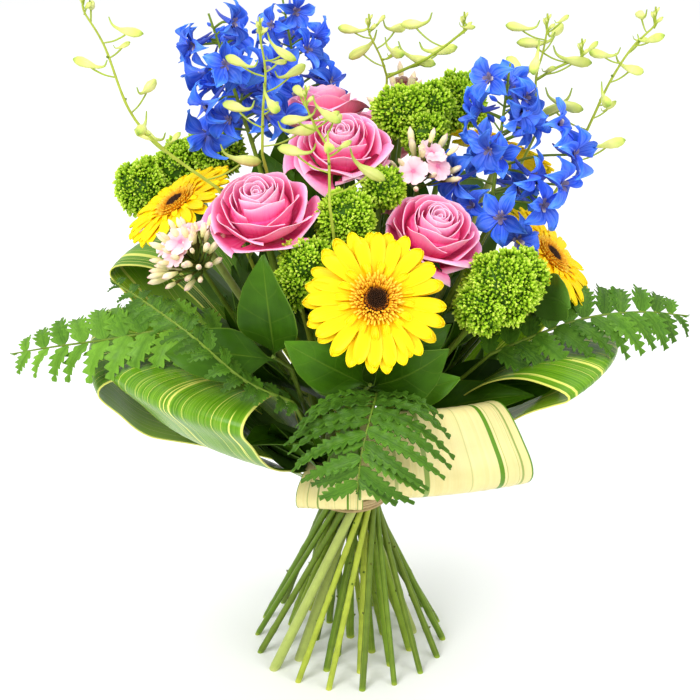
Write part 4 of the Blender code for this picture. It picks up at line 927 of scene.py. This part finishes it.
furled_bud = tube(
    [(0, 0, 0), (0, 0, 2.5), (0, 0, 6.5), (0, 0, 9.5), (0, 0, 12.0)], [0.8, 1.15, 1.8, 1.6, 0.3], 8)
dark_cup = tube([(0, 0, -3.0), (0, 0, -1.5), (0, 0, 2.6), (0, 0, 4.2)], [0.6, 1.15, 1.2, 0.9], 7, 0.05)
for number, (name, (place, facing, flowers, furled)) in enumerate(PHLOXES.items()):
    draw = random.Random(500 + number)
    facing = unit(facing)
    across, other = sides_of(facing)
    top = vector(place) - facing * 22
    line = stem_line(name, top)
    down = unit(line[-6] - top)
    petals, buds = [], []
    green = stalk_shapes(line, (2.1, 2.0, 1.8, 1.4), 0.35, 90 + number, sides=10)
    total = flowers * 2
    v, u = leaf_grid(8, 7)
    wide = 4.7 * np.interp(v, (0, 0.2, 0.6, 0.85, 1.0), (0.25, 0.5, 1.0, 0.95, 0.45))
    for step in range(total):
        turn = step * NEXT_TURN
        lean = 0.1 + 0.9 * step / total
        outward = unit(facing + lean * (math.cos(turn) * across + math.sin(turn) * other))
        root = top + down * (0.6 + 1.9 * step)
        stalk_length = 19 + 1.2 * step + 3 * (step % 2)
        tip = root + outward * stalk_length
        green.append(tube([root, root + outward * (stalk_length - 12)], [0.7, 0.8], 6, 0.3))
        green.append(moved(dark_cup, tip - outward * 9.5, outward))
        if step % 2:
            buds.append(moved(furled_bud, tip - outward * 8, outward, 0.0, 1.15, 0.6))
            continue
        for petal in range(PHLOX_LOBES):
            rise = 0.6 + draw.uniform(-0.6, 2.0) * v * v + 0.4 * u * v
            rise = rise + 0.45 * np.cos(4 * u + draw.uniform(0, 6)) * v
            grid = np.stack((0.6 + 8.8 * v, wide * u, rise), axis=2)
            lobe = blade(grid, (v, u, draw.uniform(0.2, 0.8)), 0.3)
            petals.append(moved(lobe, tip, outward, step + petal * TURN / PHLOX_LOBES))
        neck = [tip - outward * 8, tip - outward * 2, tip + outward * 0.8]
        petals.append(tube(neck, [0.9, 1.0, 1.5], 7, 0.5, (0.7, 0.0)))
    for step in range(furled):
        turn = step * NEXT_TURN + 1.0
        lean = 0.3 + 1.6 * step / furled
        outward = unit(facing + lean * (math.cos(turn) * across + math.sin(turn) * other))
        root = top + down * (14.0 * step / furled)
        seat = root + outward * draw.uniform(11.0, 23.0)
        arc = smooth_line([root, (root + seat) / 2 - UP * 1.0, seat], 3.0)
        green.append(tube(arc, np.linspace(0.7, 0.5, len(arc)), 6, 0.25))
        green.append(moved(dark_cup, seat, outward, 0.0, 0.9))
        buds.append(moved(furled_bud, seat, outward, 0.0, draw.uniform(0.8, 1.25), draw.uniform(0.2, 0.9)))
    joined(name + "_flowers", petals, PHLOX_PETAL, name, 60)
    joined(name + "_buds", buds, PHLOX_BUD, name, 60)
    joined(name + "_stalk", green, STALK, name)


# The ferns
# Five fern fronds. The midrib carries pairs of pointed side leaflets, each of them cut into forward
# teeth, and they shorten towards the frond's tip. The front one hangs over the collar as a fan.
# Each frond: its midrib, then half its width, its pairs of leaflets, how broad they are, how far
# they roll towards the face of the bunch, and their shade
FERNS = {
    "fern_left": (
        ((-78, -58, 262), (-112, -58, 266), (-150, -50, 256), (-190, -36, 244), (-222, -22, 232)),
        34, 10, 1.25, 36, 0.72),
    "fern_low_left": (
        ((-34, -124, 248), (-62, -133, 267), (-92, -128, 293), (-120, -105, 304), (-146, -82, 311)),
        20, 15, 0.85, 12, 0.16),
    "fern_front": (
        ((16, -116, 250), (14, -142, 256), (10, -160, 249), (6, -171, 233), (4, -178, 214)),
        58, 11, 1.15, 0, 0.30),
    "fern_right": (
        ((88, -60, 250), (118, -54, 261), (150, -42, 267), (186, -26, 264), (222, -10, 254)),
        36, 11, 1.1, -30, 0.42),
    "fern_back": (
        ((0, 102, 262), (3, 130, 266), (6, 154, 256), (8, 171, 240), (8, 182, 220)),
        50, 10, 1.15, 0, 0.45),
}
# No leaflet reaches farther back than this
BACK_LIMIT = 177.0
FERN_SKIN = plant_finish(
    "fern_leaflet", ((0.0, (0.026, 0.085, 0.006)), (0.5, (0.052, 0.155, 0.009)), (1.0, (0.16, 0.34, 0.03))),
    mark="tint", streak_colour=(0.20, 0.42, 0.03), streaks=5.0, streak_strength=0.35, mottle=180.0,
    mottle_strength=0.6, tint_strength=0.5, bump=0.0004, roughness=0.5, shine=0.2)


def toothed_leaflet(teeth, width, tint, draw):
    """A leaflet of length 1 along +X with forward teeth on both edges and a sunk midrib."""
    reach, wide = [0.0], [0.35 * width]
    for tooth in range(teeth):
        start = (tooth + 0.15) / teeth
        size = width * (1.0 - 0.93 * start ** 1.7) * (1.0 if tooth else 0.8) * draw.uniform(0.90, 1.06)
        reach += [start, start + 0.40 / teeth, start + 0.70 / teeth]
        wide += [size * 0.60, size * 0.94, size]
    reach, wide = np.array(reach + [1.0])[:, None], np.array(wide + [0.01])[:, None]
    u = np.linspace(-1, 1, 5)[None, :]
    ahead = reach + 0.5 * np.abs(u) * wide
    level = 0.10 * np.sin(reach * 3) - 0.16 * reach ** 2 + 0.22 * wide * np.abs(u)
    level = level + 0.02 * np.sin(reach * 40) * u
    shade = tint + 0.18 * np.abs(u) - 0.1
    return blade(np.stack((ahead, wide * u, level), axis=2), (reach, u, shade), 0.014)


def laid(leaf, root, way, cross, length):
    """A leaflet set down at its root, along one way and across another."""
    return root + length * (leaf[0] @ np.array((way, cross, np.cross(way, cross)))), leaf[1], leaf[2]


for number, (name, (path, half_width, pairs, breadth, roll, shade)) in enumerate(FERNS.items()):
    draw = random.Random(600 + number)
    arc = smooth_line(path, 3.0)
    tangents = np.gradient(arc, axis=0)
    lean = math.radians(roll)
    leaves = []
    line = np.concatenate((stem_line(name, path[0]), arc[1:-1]))
    green = stalk_shapes(line, (2.0, 1.9, 1.8, 1.5, 1.2, 0.8, 0.5), 0.45, 110 + number, BARE, 8)
    pitch = np.linalg.norm(np.diff(arc, axis=0), axis=1).sum() / pairs
    for pair in range(pairs):
        share = (pair + 0.35) / (pairs + 0.4)
        size = 0.97 * half_width * math.sin(math.pi * (0.22 + 0.70 * share)) ** 0.8
        for side in (-1, 1):
            at = min(int((share + 0.25 * side / pairs / 2) * (len(arc) - 1)), len(arc) - 1)
            middle, along = arc[at], unit(tangents[at])
            flat = unit(np.cross(along, UP))
            upright = np.cross(flat, along)
            across = flat * math.cos(lean) + upright * math.sin(lean)
            face = upright * math.cos(lean) - flat * math.sin(lean)
            way = unit(along * draw.uniform(0.35, 0.6) + side * across - face * draw.uniform(0.02, 0.2))
            cross = unit(unit(np.cross(face, way)) + face * draw.uniform(-0.3, 0.3))
            length = size * draw.uniform(0.9, 1.0)
            if way[1] > 0:
                length = min(length, max(4.0, (BACK_LIMIT - middle[1]) / way[1]))
            width = min(0.62 * pitch * breadth / length, 0.34)
            teeth = max(5, int(length / 4.0 / breadth))
            leaf = toothed_leaflet(teeth, width, shade + draw.uniform(-0.2, 0.2), draw)
            leaves.append(laid(leaf, middle, way, cross, length))
            rib_end = middle + way * length * 0.5 + face * length * 0.045
            green.append(tube([middle, rib_end], [0.5, 0.3], 5, 0.6))
    way = unit(arc[-1] - arc[-4])
    leaves.append(laid(toothed_leaflet(5, 0.3, shade, draw), arc[-4], way, unit(np.cross(way, UP)), 7.0))
    joined(name + "_leaflets", leaves, FERN_SKIN, name, 60)
    joined(name + "_rib", green, STALK, name)


# The broad leaves
# Five stems of leathery dark leaves fill the inside of the bunch: broad and oval with a pointed
# tip, a sunk midrib, faint looped side veins and a thin light edge.
# Each stem: the end of its stalk, then its leaves as a share of that end, a tip, half a width and a bow
LEAFY_STEMS = {
    "leafy_left": (
        ((-36, -96, 258), (-46, -110, 272)),
        ((0.9, (-52, -122, 340), 19, 8), (0.6, (-112, -98, 268), 17, 8))),
    "leafy_front": (
        ((8, -104, 246), (12, -116, 256)),
        ((0.9, (-38, -134, 292), 16, 4), (0.7, (58, -122, 280), 17, 6), (0.4, (62, -98, 286), 12, 5),
         (0.3, (-34, -92, 264), 12, 2), (0.5, (66, -114, 259), 13, 2))),
    "leafy_right": (
        ((94, -30, 266), (106, -36, 276)), ((0.9, (134, -84, 292), 15, 6), (0.6, (142, 22, 274), 11, 4))),
    "leafy_far_right": (
        ((70, 84, 262), (84, 100, 274)), ((0.9, (132, 112, 298), 18, 7), (0.6, (76, 156, 296), 18, 7))),
    "leafy_far_left": (
        ((-78, 54, 272), (-92, 64, 284)), ((0.9, (-152, 80, 316), 18, 4), (0.6, (-102, 138, 308), 18, 5))),
}
# Each tier inside: leaves, foot radius and level, tip radius from and to, tip level from and to
INNER_TIERS = (
    (26, 28.0, 150.0, 84.0, 112.0, 204.0, 222.0), (20, 40.0, 205.0, 72.0, 98.0, 252.0, 288.0),
    (14, 46.0, 238.0, 92.0, 120.0, 268.0, 296.0), (14, 20.0, 238.0, 26.0, 52.0, 310.0, 332.0))
# Each leaf that closes a gap between the flowers: foot, tip, half its width, and the way it faces
GAP_LEAVES = (
    ((34, -34, 186), (136, -48, 222), 19, (0.1, -0.7, 0.7)),
    ((30, -44, 192), (112, -76, 232), 15, (0.1, -0.6, 0.8)),
    ((-26, -44, 176), (-64, -106, 214), 15, (-0.2, -0.5, 0.85)),
    ((-14, -26, 318), (-30, -22, 372), 13, (-0.2, -0.9, 0.3)),
    ((-46, 6, 310), (-58, 18, 358), 14, (-0.2, -0.9, 0.3)),
    ((-30, 2, 306), (-40, -2, 352), 12, (-0.1, -0.9, 0.4)),
    ((-70, -10, 290), (-66, -14, 340), 13, (-0.3, -0.8, 0.4)),
    ((-38, 22, 319), (-44, 24, 368), 13, (-0.1, -0.9, 0.3)),
    ((-8, 26, 306), (-3, 30, 348), 13, (0.1, -0.9, 0.3)),
    ((32, 24, 299), (38, 28, 345), 13, (0.1, -0.9, 0.3)))
BROAD_LEAF = plant_finish(
    "broad_leaf_skin",
    ((0.0, (0.022, 0.065, 0.002)), (0.5, (0.028, 0.09, 0.002)), (1.0, (0.06, 0.165, 0.005))),
    streak_colour=(0.05, 0.14, 0.004), streaks=4.0, streak_strength=0.4, mottle=90.0, mottle_strength=0.8,
    tint_strength=1.1, bump=0.0004, roughness=0.40, shine=0.12)
# Side veins that climb to the edge, the midrib and the light rim, in one mask
tree, shader, colour = opened(BROAD_LEAF)
side = sum_of(tree, "ABSOLUTE", mark_of(tree, "across"))
climb = sum_of(tree, "MULTIPLY_ADD", side, -1.6, 0.0)
wave = sum_of(tree, "MULTIPLY_ADD", mark_of(tree, "along"), 9.0, climb)
vein = ranged(tree, sum_of(tree, "PINGPONG", wave, 1.0), 0.0, 0.10, 0.28, 0.0)
rib = ranged(tree, side, 0.012, 0.05, 0.8, 0.0)
raised = sum_of(tree, "MAXIMUM", sum_of(tree, "MAXIMUM", vein, rib), ranged(tree, side, 0.965, 0.995))
veined = mixed(tree, sum_of(tree, "MULTIPLY", raised, 0.24), colour, (0.24, 0.38, 0.03, 1.0))
pale = sum_of(tree, "MULTIPLY", mark_of(tree, "underside"), 0.45)
tree.links.new(mixed(tree, pale, veined, (0.14, 0.28, 0.05, 1.0)), shader.inputs["Base Color"])
height = shader.inputs["Normal"].links[0].from_node.inputs["Height"]
tree.links.new(sum_of(tree, "MULTIPLY_ADD", raised, -1.2, height.links[0].from_socket), height)


def broad_leaf(foot, tip, half_width, bow, tint, draw, facing=None):
    """A leaf from its short stalk to its pointed tip, with a gentle wave along its edges."""
    foot, tip = vector(foot), vector(tip)
    along = tip - foot
    size = np.linalg.norm(along)
    across = unit(np.cross(along, unit(facing or (foot[0] + tip[0], foot[1] + tip[1], 40.0))))
    face = np.cross(across, unit(along))
    v, u = leaf_grid(21, 9)
    width = half_width * np.interp(v, (0, 0.10, 0.16, 0.28, 0.42, 0.58, 0.74, 0.87, 0.95, 1.0),
                                   (0.06, 0.07, 0.30, 0.80, 1.0, 0.98, 0.78, 0.44, 0.18, 0.015))
    lift = bow * np.sin(math.pi * v) + width * 0.22 * np.abs(u) ** 1.3
    lift = lift + 1.3 * np.sin(v * 9 + draw.uniform(0, 6)) * u * u * np.sign(u)
    lift = lift + 0.5 * np.sin(v * 17) * np.abs(u)
    lift = lift - 0.08 * size * draw.uniform(0, 1) * v ** 4
    sway = 0.10 * size * draw.uniform(-1, 1) * np.sin(math.pi * v)
    grid = foot + along * v[..., None] + across * (width * u + sway)[..., None] + face * lift[..., None]
    return blade(grid, (v, u, tint), 0.6)


for number, (name, (path, leaves)) in enumerate(LEAFY_STEMS.items()):
    draw = random.Random(700 + number)
    start, end = vector(path[0]), vector(path[1])
    line = np.concatenate((stem_line(name, start), [end]))
    green = stalk_shapes(line, (2.3, 2.1, 1.9, 1.6, 1.3), 0.35, 130 + number, 30, 10)
    foliage = []
    for share, tip, half_width, bow in leaves:
        tint = draw.uniform(0.25, 0.75)
        foliage.append(broad_leaf(start + (end - start) * share, tip, half_width, bow, tint, draw))
    joined(name + "_leaves", foliage, BROAD_LEAF, name, 60)
    joined(name + "_stalk", green, STALK, name)

inner = []
draw = random.Random(777)
for count, foot_radius, foot_level, nearest, farthest, lowest, highest in INNER_TIERS:
    for step in range(count):
        turn = step * EVEN_TURN + foot_level
        radial = np.array((math.cos(turn), math.sin(turn), 0.0))
        if foot_radius > 45 and radial[1] < -0.45:
            continue
        sideways = np.array((-radial[1], radial[0], 0.0)) * draw.uniform(-14, 14)
        foot = radial * foot_radius + UP * foot_level
        tip = radial * draw.uniform(nearest, farthest) + sideways + UP * draw.uniform(lowest, highest)
        half_width, bow = draw.uniform(13, 18), draw.uniform(3, 7)
        # Leaves inside the bunch take low tints, so they are painted darker, as painted shade inside the
        # bunch.
        inner.append(broad_leaf(foot, tip, half_width, bow, draw.uniform(0.0, 0.4), draw))
for foot, tip, half_width, facing in GAP_LEAVES:
    inner.append(broad_leaf(foot, tip, half_width, 5.0, 0.4, draw, facing))
joined("inner_leaves", inner, BROAD_LEAF, None, 60)


# The leaf loops
# Eight long strap leaves make the collar: each runs out from under the tie, folds over at the
# collar and is tucked back inside. Fine cream stripes run the length of the glossy green.
# Each loop: azimuth, spread, reach, height, depth of its fold, tilt, where it is tucked in, and section
LOOPS = {
    "loop_front_left": (-135, 126, 163, 249, 46, 3, (57, 190), "rolled"),
    "loop_left": (-176, 106, 172, 236, 44, -4, (60, 186), "rolled"),
    "loop_far_left": (147, 108, 168, 272, 46, 0, (60, 186), "rolled"),
    "loop_back": (98, 118, 155, 236, 38, 0, (57, 182), "rolled"),
    "loop_far_right": (44, 118, 162, 240, 38, 0, (58, 178), "rolled"),
    "loop_right": (-22, 118, 176, 249, 27, -4, (60, 182), "rolled"),
    "loop_front_right": (-68, 117, 166, 244, 48, -6, (57, 172), "creased"),
    "loop_small": (-103, 46, 64, 163, 26, 2, (36, 146), "creased"),
}
# The bends of a fold: shares of the reach, and of the fold's depth that is left
LOOP_SECTIONS = {
    "rolled": ((0.80, 1.0), (0.92, 0.52), (0.995, 0.18), (0.95, 0.0), (0.80, 0.02)),
    "creased": ((0.87, 1.0), (0.965, 0.93), (1.0, 0.72), (0.96, 0.42), (0.83, 0.02)),
}
RETURN_BOW = 11.0
LOOP_RING = 21.6
# The cream leaf's green bands: their middles and half widths across the leaf, and their strength
CREAM_BANDS = (
    (0.57, 0.034, 1.0), (0.64, 0.006, 0.5), (0.85, 0.018, 0.7), (0.80, 0.005, 0.4), (0.20, 0.010, 0.3),
    (-0.30, 0.03, 0.8), (-0.62, 0.02, 0.5))
# The green leaf's stripes lie where drifting noise passes its middle: scale, drift, half width, strength
NOISE_STRIPES = ((6.0, 0.35, 0.008, 1.0), (18.6, 0.8, 0.006, 0.35))


def build_striped_leaf(name, ground, inside, stripe, fine, fine_strength, bands):
    """Green and cream stripes along a leaf: broad bands, many hair-fine lines, and its margins, over a
    lighter underside that is painted light shining through the leaf.
    """
    finish = plant_finish(
        name, ((0.0, ground), (1.0, ground)), streak_colour=fine, streaks=34.0, streak_strength=fine_strength,
        mottle=60.0, mottle_strength=0.35, tint_strength=0.4, bump=0.0005, roughness=0.34, shine=0.35)
    tree, shader, colour = opened(finish)
    along, across = mark_of(tree, "along"), mark_of(tree, "across")
    mask = ranged(tree, sum_of(tree, "ABSOLUTE", across), 0.972, 0.982)
    edges = []
    for middle, half, strength in bands:
        edges.append((sum_of(tree, "SUBTRACT", across, middle), half * 0.8, half, strength))
    for scale, drift, half, strength in () if bands else NOISE_STRIPES:
        place = add(tree, "ShaderNodeCombineXYZ", {
            "X": sum_of(tree, "MULTIPLY", across, scale), "Y": sum_of(tree, "MULTIPLY", along, drift),
            "Z": sum_of(tree, "MULTIPLY", mark_of(tree, "tint"), 51.0)})
        cloud = add(tree, "ShaderNodeTexNoise", {"Vector": place.outputs[0], "Scale": 1.0, "Detail": 1.0})
        gap = sum_of(tree, "SUBTRACT", cloud.outputs["Fac"], 0.52)
        edges.append((gap, half, half * 1.5, strength))
    for gap, full, end, strength in edges:
        band = ranged(tree, sum_of(tree, "ABSOLUTE", gap), full, end, strength, 0.0)
        mask = sum_of(tree, "MAXIMUM", band, mask)
    # The underside is painted lighter, as painted light shining through the leaf.
    painted_through_light = sum_of(tree, "MULTIPLY", mark_of(tree, "underside"), 0.85)
    striped = mixed(tree, mask, mixed(tree, painted_through_light, colour, (*inside, 1.0)), (*stripe, 1.0))
    tree.links.new(striped, shader.inputs["Base Color"])
    return finish


# After the ground colour comes the lighter underside, painted light shining through the leaf.
STRIPED = build_striped_leaf(
    "striped_leaf_skin", (0.075, 0.215, 0.004), (0.30, 0.52, 0.02), (0.74, 0.76, 0.15), (0.20, 0.40, 0.02),
    0.6, ())
CREAM = build_striped_leaf(
    "cream_leaf_skin", (0.90, 0.80, 0.36), (0.92, 0.84, 0.42), (0.10, 0.25, 0.01), (0.84, 0.68, 0.24),
    0.35, CREAM_BANDS)


def loop_outline(reach, height, fold, tuck, section):
    """Radius, level and share of the full spread, out from the waist, over the fold and back inside."""
    start = np.array((LOOP_RING, WAIST_Z + 12))
    bends = [np.array((reach * share, height - fold * depth)) for share, depth in LOOP_SECTIONS[section]]
    outline = [(*start, 0.05), (LOOP_RING + 9, WAIST_Z + 14, 0.1)]
    for share, width in ((0.36, 0.5), (0.64, 0.85)):
        outline.append((*(start + (bends[0] - start) * share), width))
    outline += [(*bend, 1.0) for bend in bends]
    for share, width in ((0.33, 0.97), (0.66, 0.88), (1.0, 0.5)):
        radius, level = bends[-1] + (tuck - bends[-1]) * share
        outline.append((radius, level + RETURN_BOW * math.sin(math.pi * share), width))
    return outline


for number, (name, (azimuth, spread, reach, height, fold, tilt, tuck, section)) in enumerate(LOOPS.items()):
    draw = random.Random(800 + number)
    azimuth = math.radians(azimuth)
    rows = smooth_line(loop_outline(reach, height, fold, np.array(tuck), section), 3.0)
    radius, level, width = (rows[:, column][:, None] for column in range(3))
    shares = np.linspace(0, 1, len(rows))[:, None]
    u = np.linspace(-1, 1, 25)[None, :]
    half_turn = np.maximum(1.4 / radius, spread / 2 / reach * np.clip(width, 0.02, 1.0))
    turn = azimuth + u * half_turn
    lift = tilt * u * radius / reach - 0.05 * half_turn * radius * u * u
    lift = lift + 1.0 * np.sin(shares * 22 + draw.uniform(0, 6)) * np.abs(u) ** 3 * np.sin(math.pi * shares)
    lift = lift + 0.16 * np.sin(u * 40) * np.sin(math.pi * shares)
    grid = np.stack((radius * np.cos(turn), radius * np.sin(turn), level + lift), axis=2)
    radial = np.array((math.cos(azimuth), math.sin(azimuth), 0.0))
    foot, neck = radial * LOOP_RING + UP * (WAIST_Z - 8), radial * LOOP_RING + UP * (WAIST_Z + 10)
    reach_out = radial * (LOOP_RING + 9) + UP * (WAIST_Z + 14)
    shapes = [blade(grid, (shares, u, draw.uniform(0.2, 0.8)), 0.8),
              tube(smooth_line([foot, neck, neck + (reach_out - neck) * 0.8], 2.0), 1.3, 8)]
    finish, slot = (CREAM, "cream_leaf") if section == "creased" else (STRIPED, "striped_leaf")
    joined(name + "_leaf", shapes, finish, name)


# The tie
# Seven turns of dry raffia drawn tight round the waist of the bunch, each a flat twisted strand
# laid beside the last. They hold the spiral, and the leaf loops come out from under them.
TIE_TURNS = 7
TIE_RADIUS = 25.3
TIE_PITCH = 1.93
STRAND_WIDTH, STRAND_HEIGHT = 0.85, 1.05
STRAND_SIDES = 8
STRAND_POINTS = 72
RAFFIA = plant_finish(
    "raffia", ((0.0, (0.42, 0.30, 0.13)), (1.0, (0.62, 0.48, 0.26))), mark="tint", streaks=5.0,
    streak_colour=(0.30, 0.20, 0.08), streak_strength=0.5, mottle=250.0, mottle_strength=0.6,
    tint_strength=0.0, roughness=0.75)
draw = random.Random(900)
swings = np.linspace(0, TURN, STRAND_POINTS, endpoint=False)[:, None]
angles = TURN * np.arange(STRAND_SIDES) / STRAND_SIDES + 3 * swings
low = np.arange(STRAND_POINTS)[:, None] * STRAND_SIDES
high = (low + STRAND_SIDES) % (STRAND_POINTS * STRAND_SIDES)
side, after = np.arange(STRAND_SIDES), (np.arange(STRAND_SIDES) + 1) % STRAND_SIDES
corners = np.stack((high + side, high + after, low + after, low + side), axis=2)
strand_faces = corners.reshape(-1, 4).tolist()
turns = []
for step in range(TIE_TURNS):
    level = WAIST_Z - 5.8 + step * TIE_PITCH + 0.5 * np.sin(swings + draw.uniform(0, 6))
    out = TIE_RADIUS + STRAND_WIDTH * np.cos(angles)
    rise = level + STRAND_HEIGHT * np.sin(angles)
    points = np.stack((out * np.cos(swings), out * np.sin(swings), rise), axis=2)
    marks = np.zeros((STRAND_POINTS * STRAND_SIDES, 4))
    marks[:, 0] = np.repeat(np.linspace(0, 1, STRAND_POINTS), STRAND_SIDES)
    marks[:, 1] = np.tile(np.linspace(-1, 1, STRAND_SIDES), STRAND_POINTS)
    marks[:, 2] = draw.uniform(0.1, 0.9)
    turns.append((points.reshape(-1, 3), strand_faces, marks))
joined("tie_cord", turns, RAFFIA, "tie")
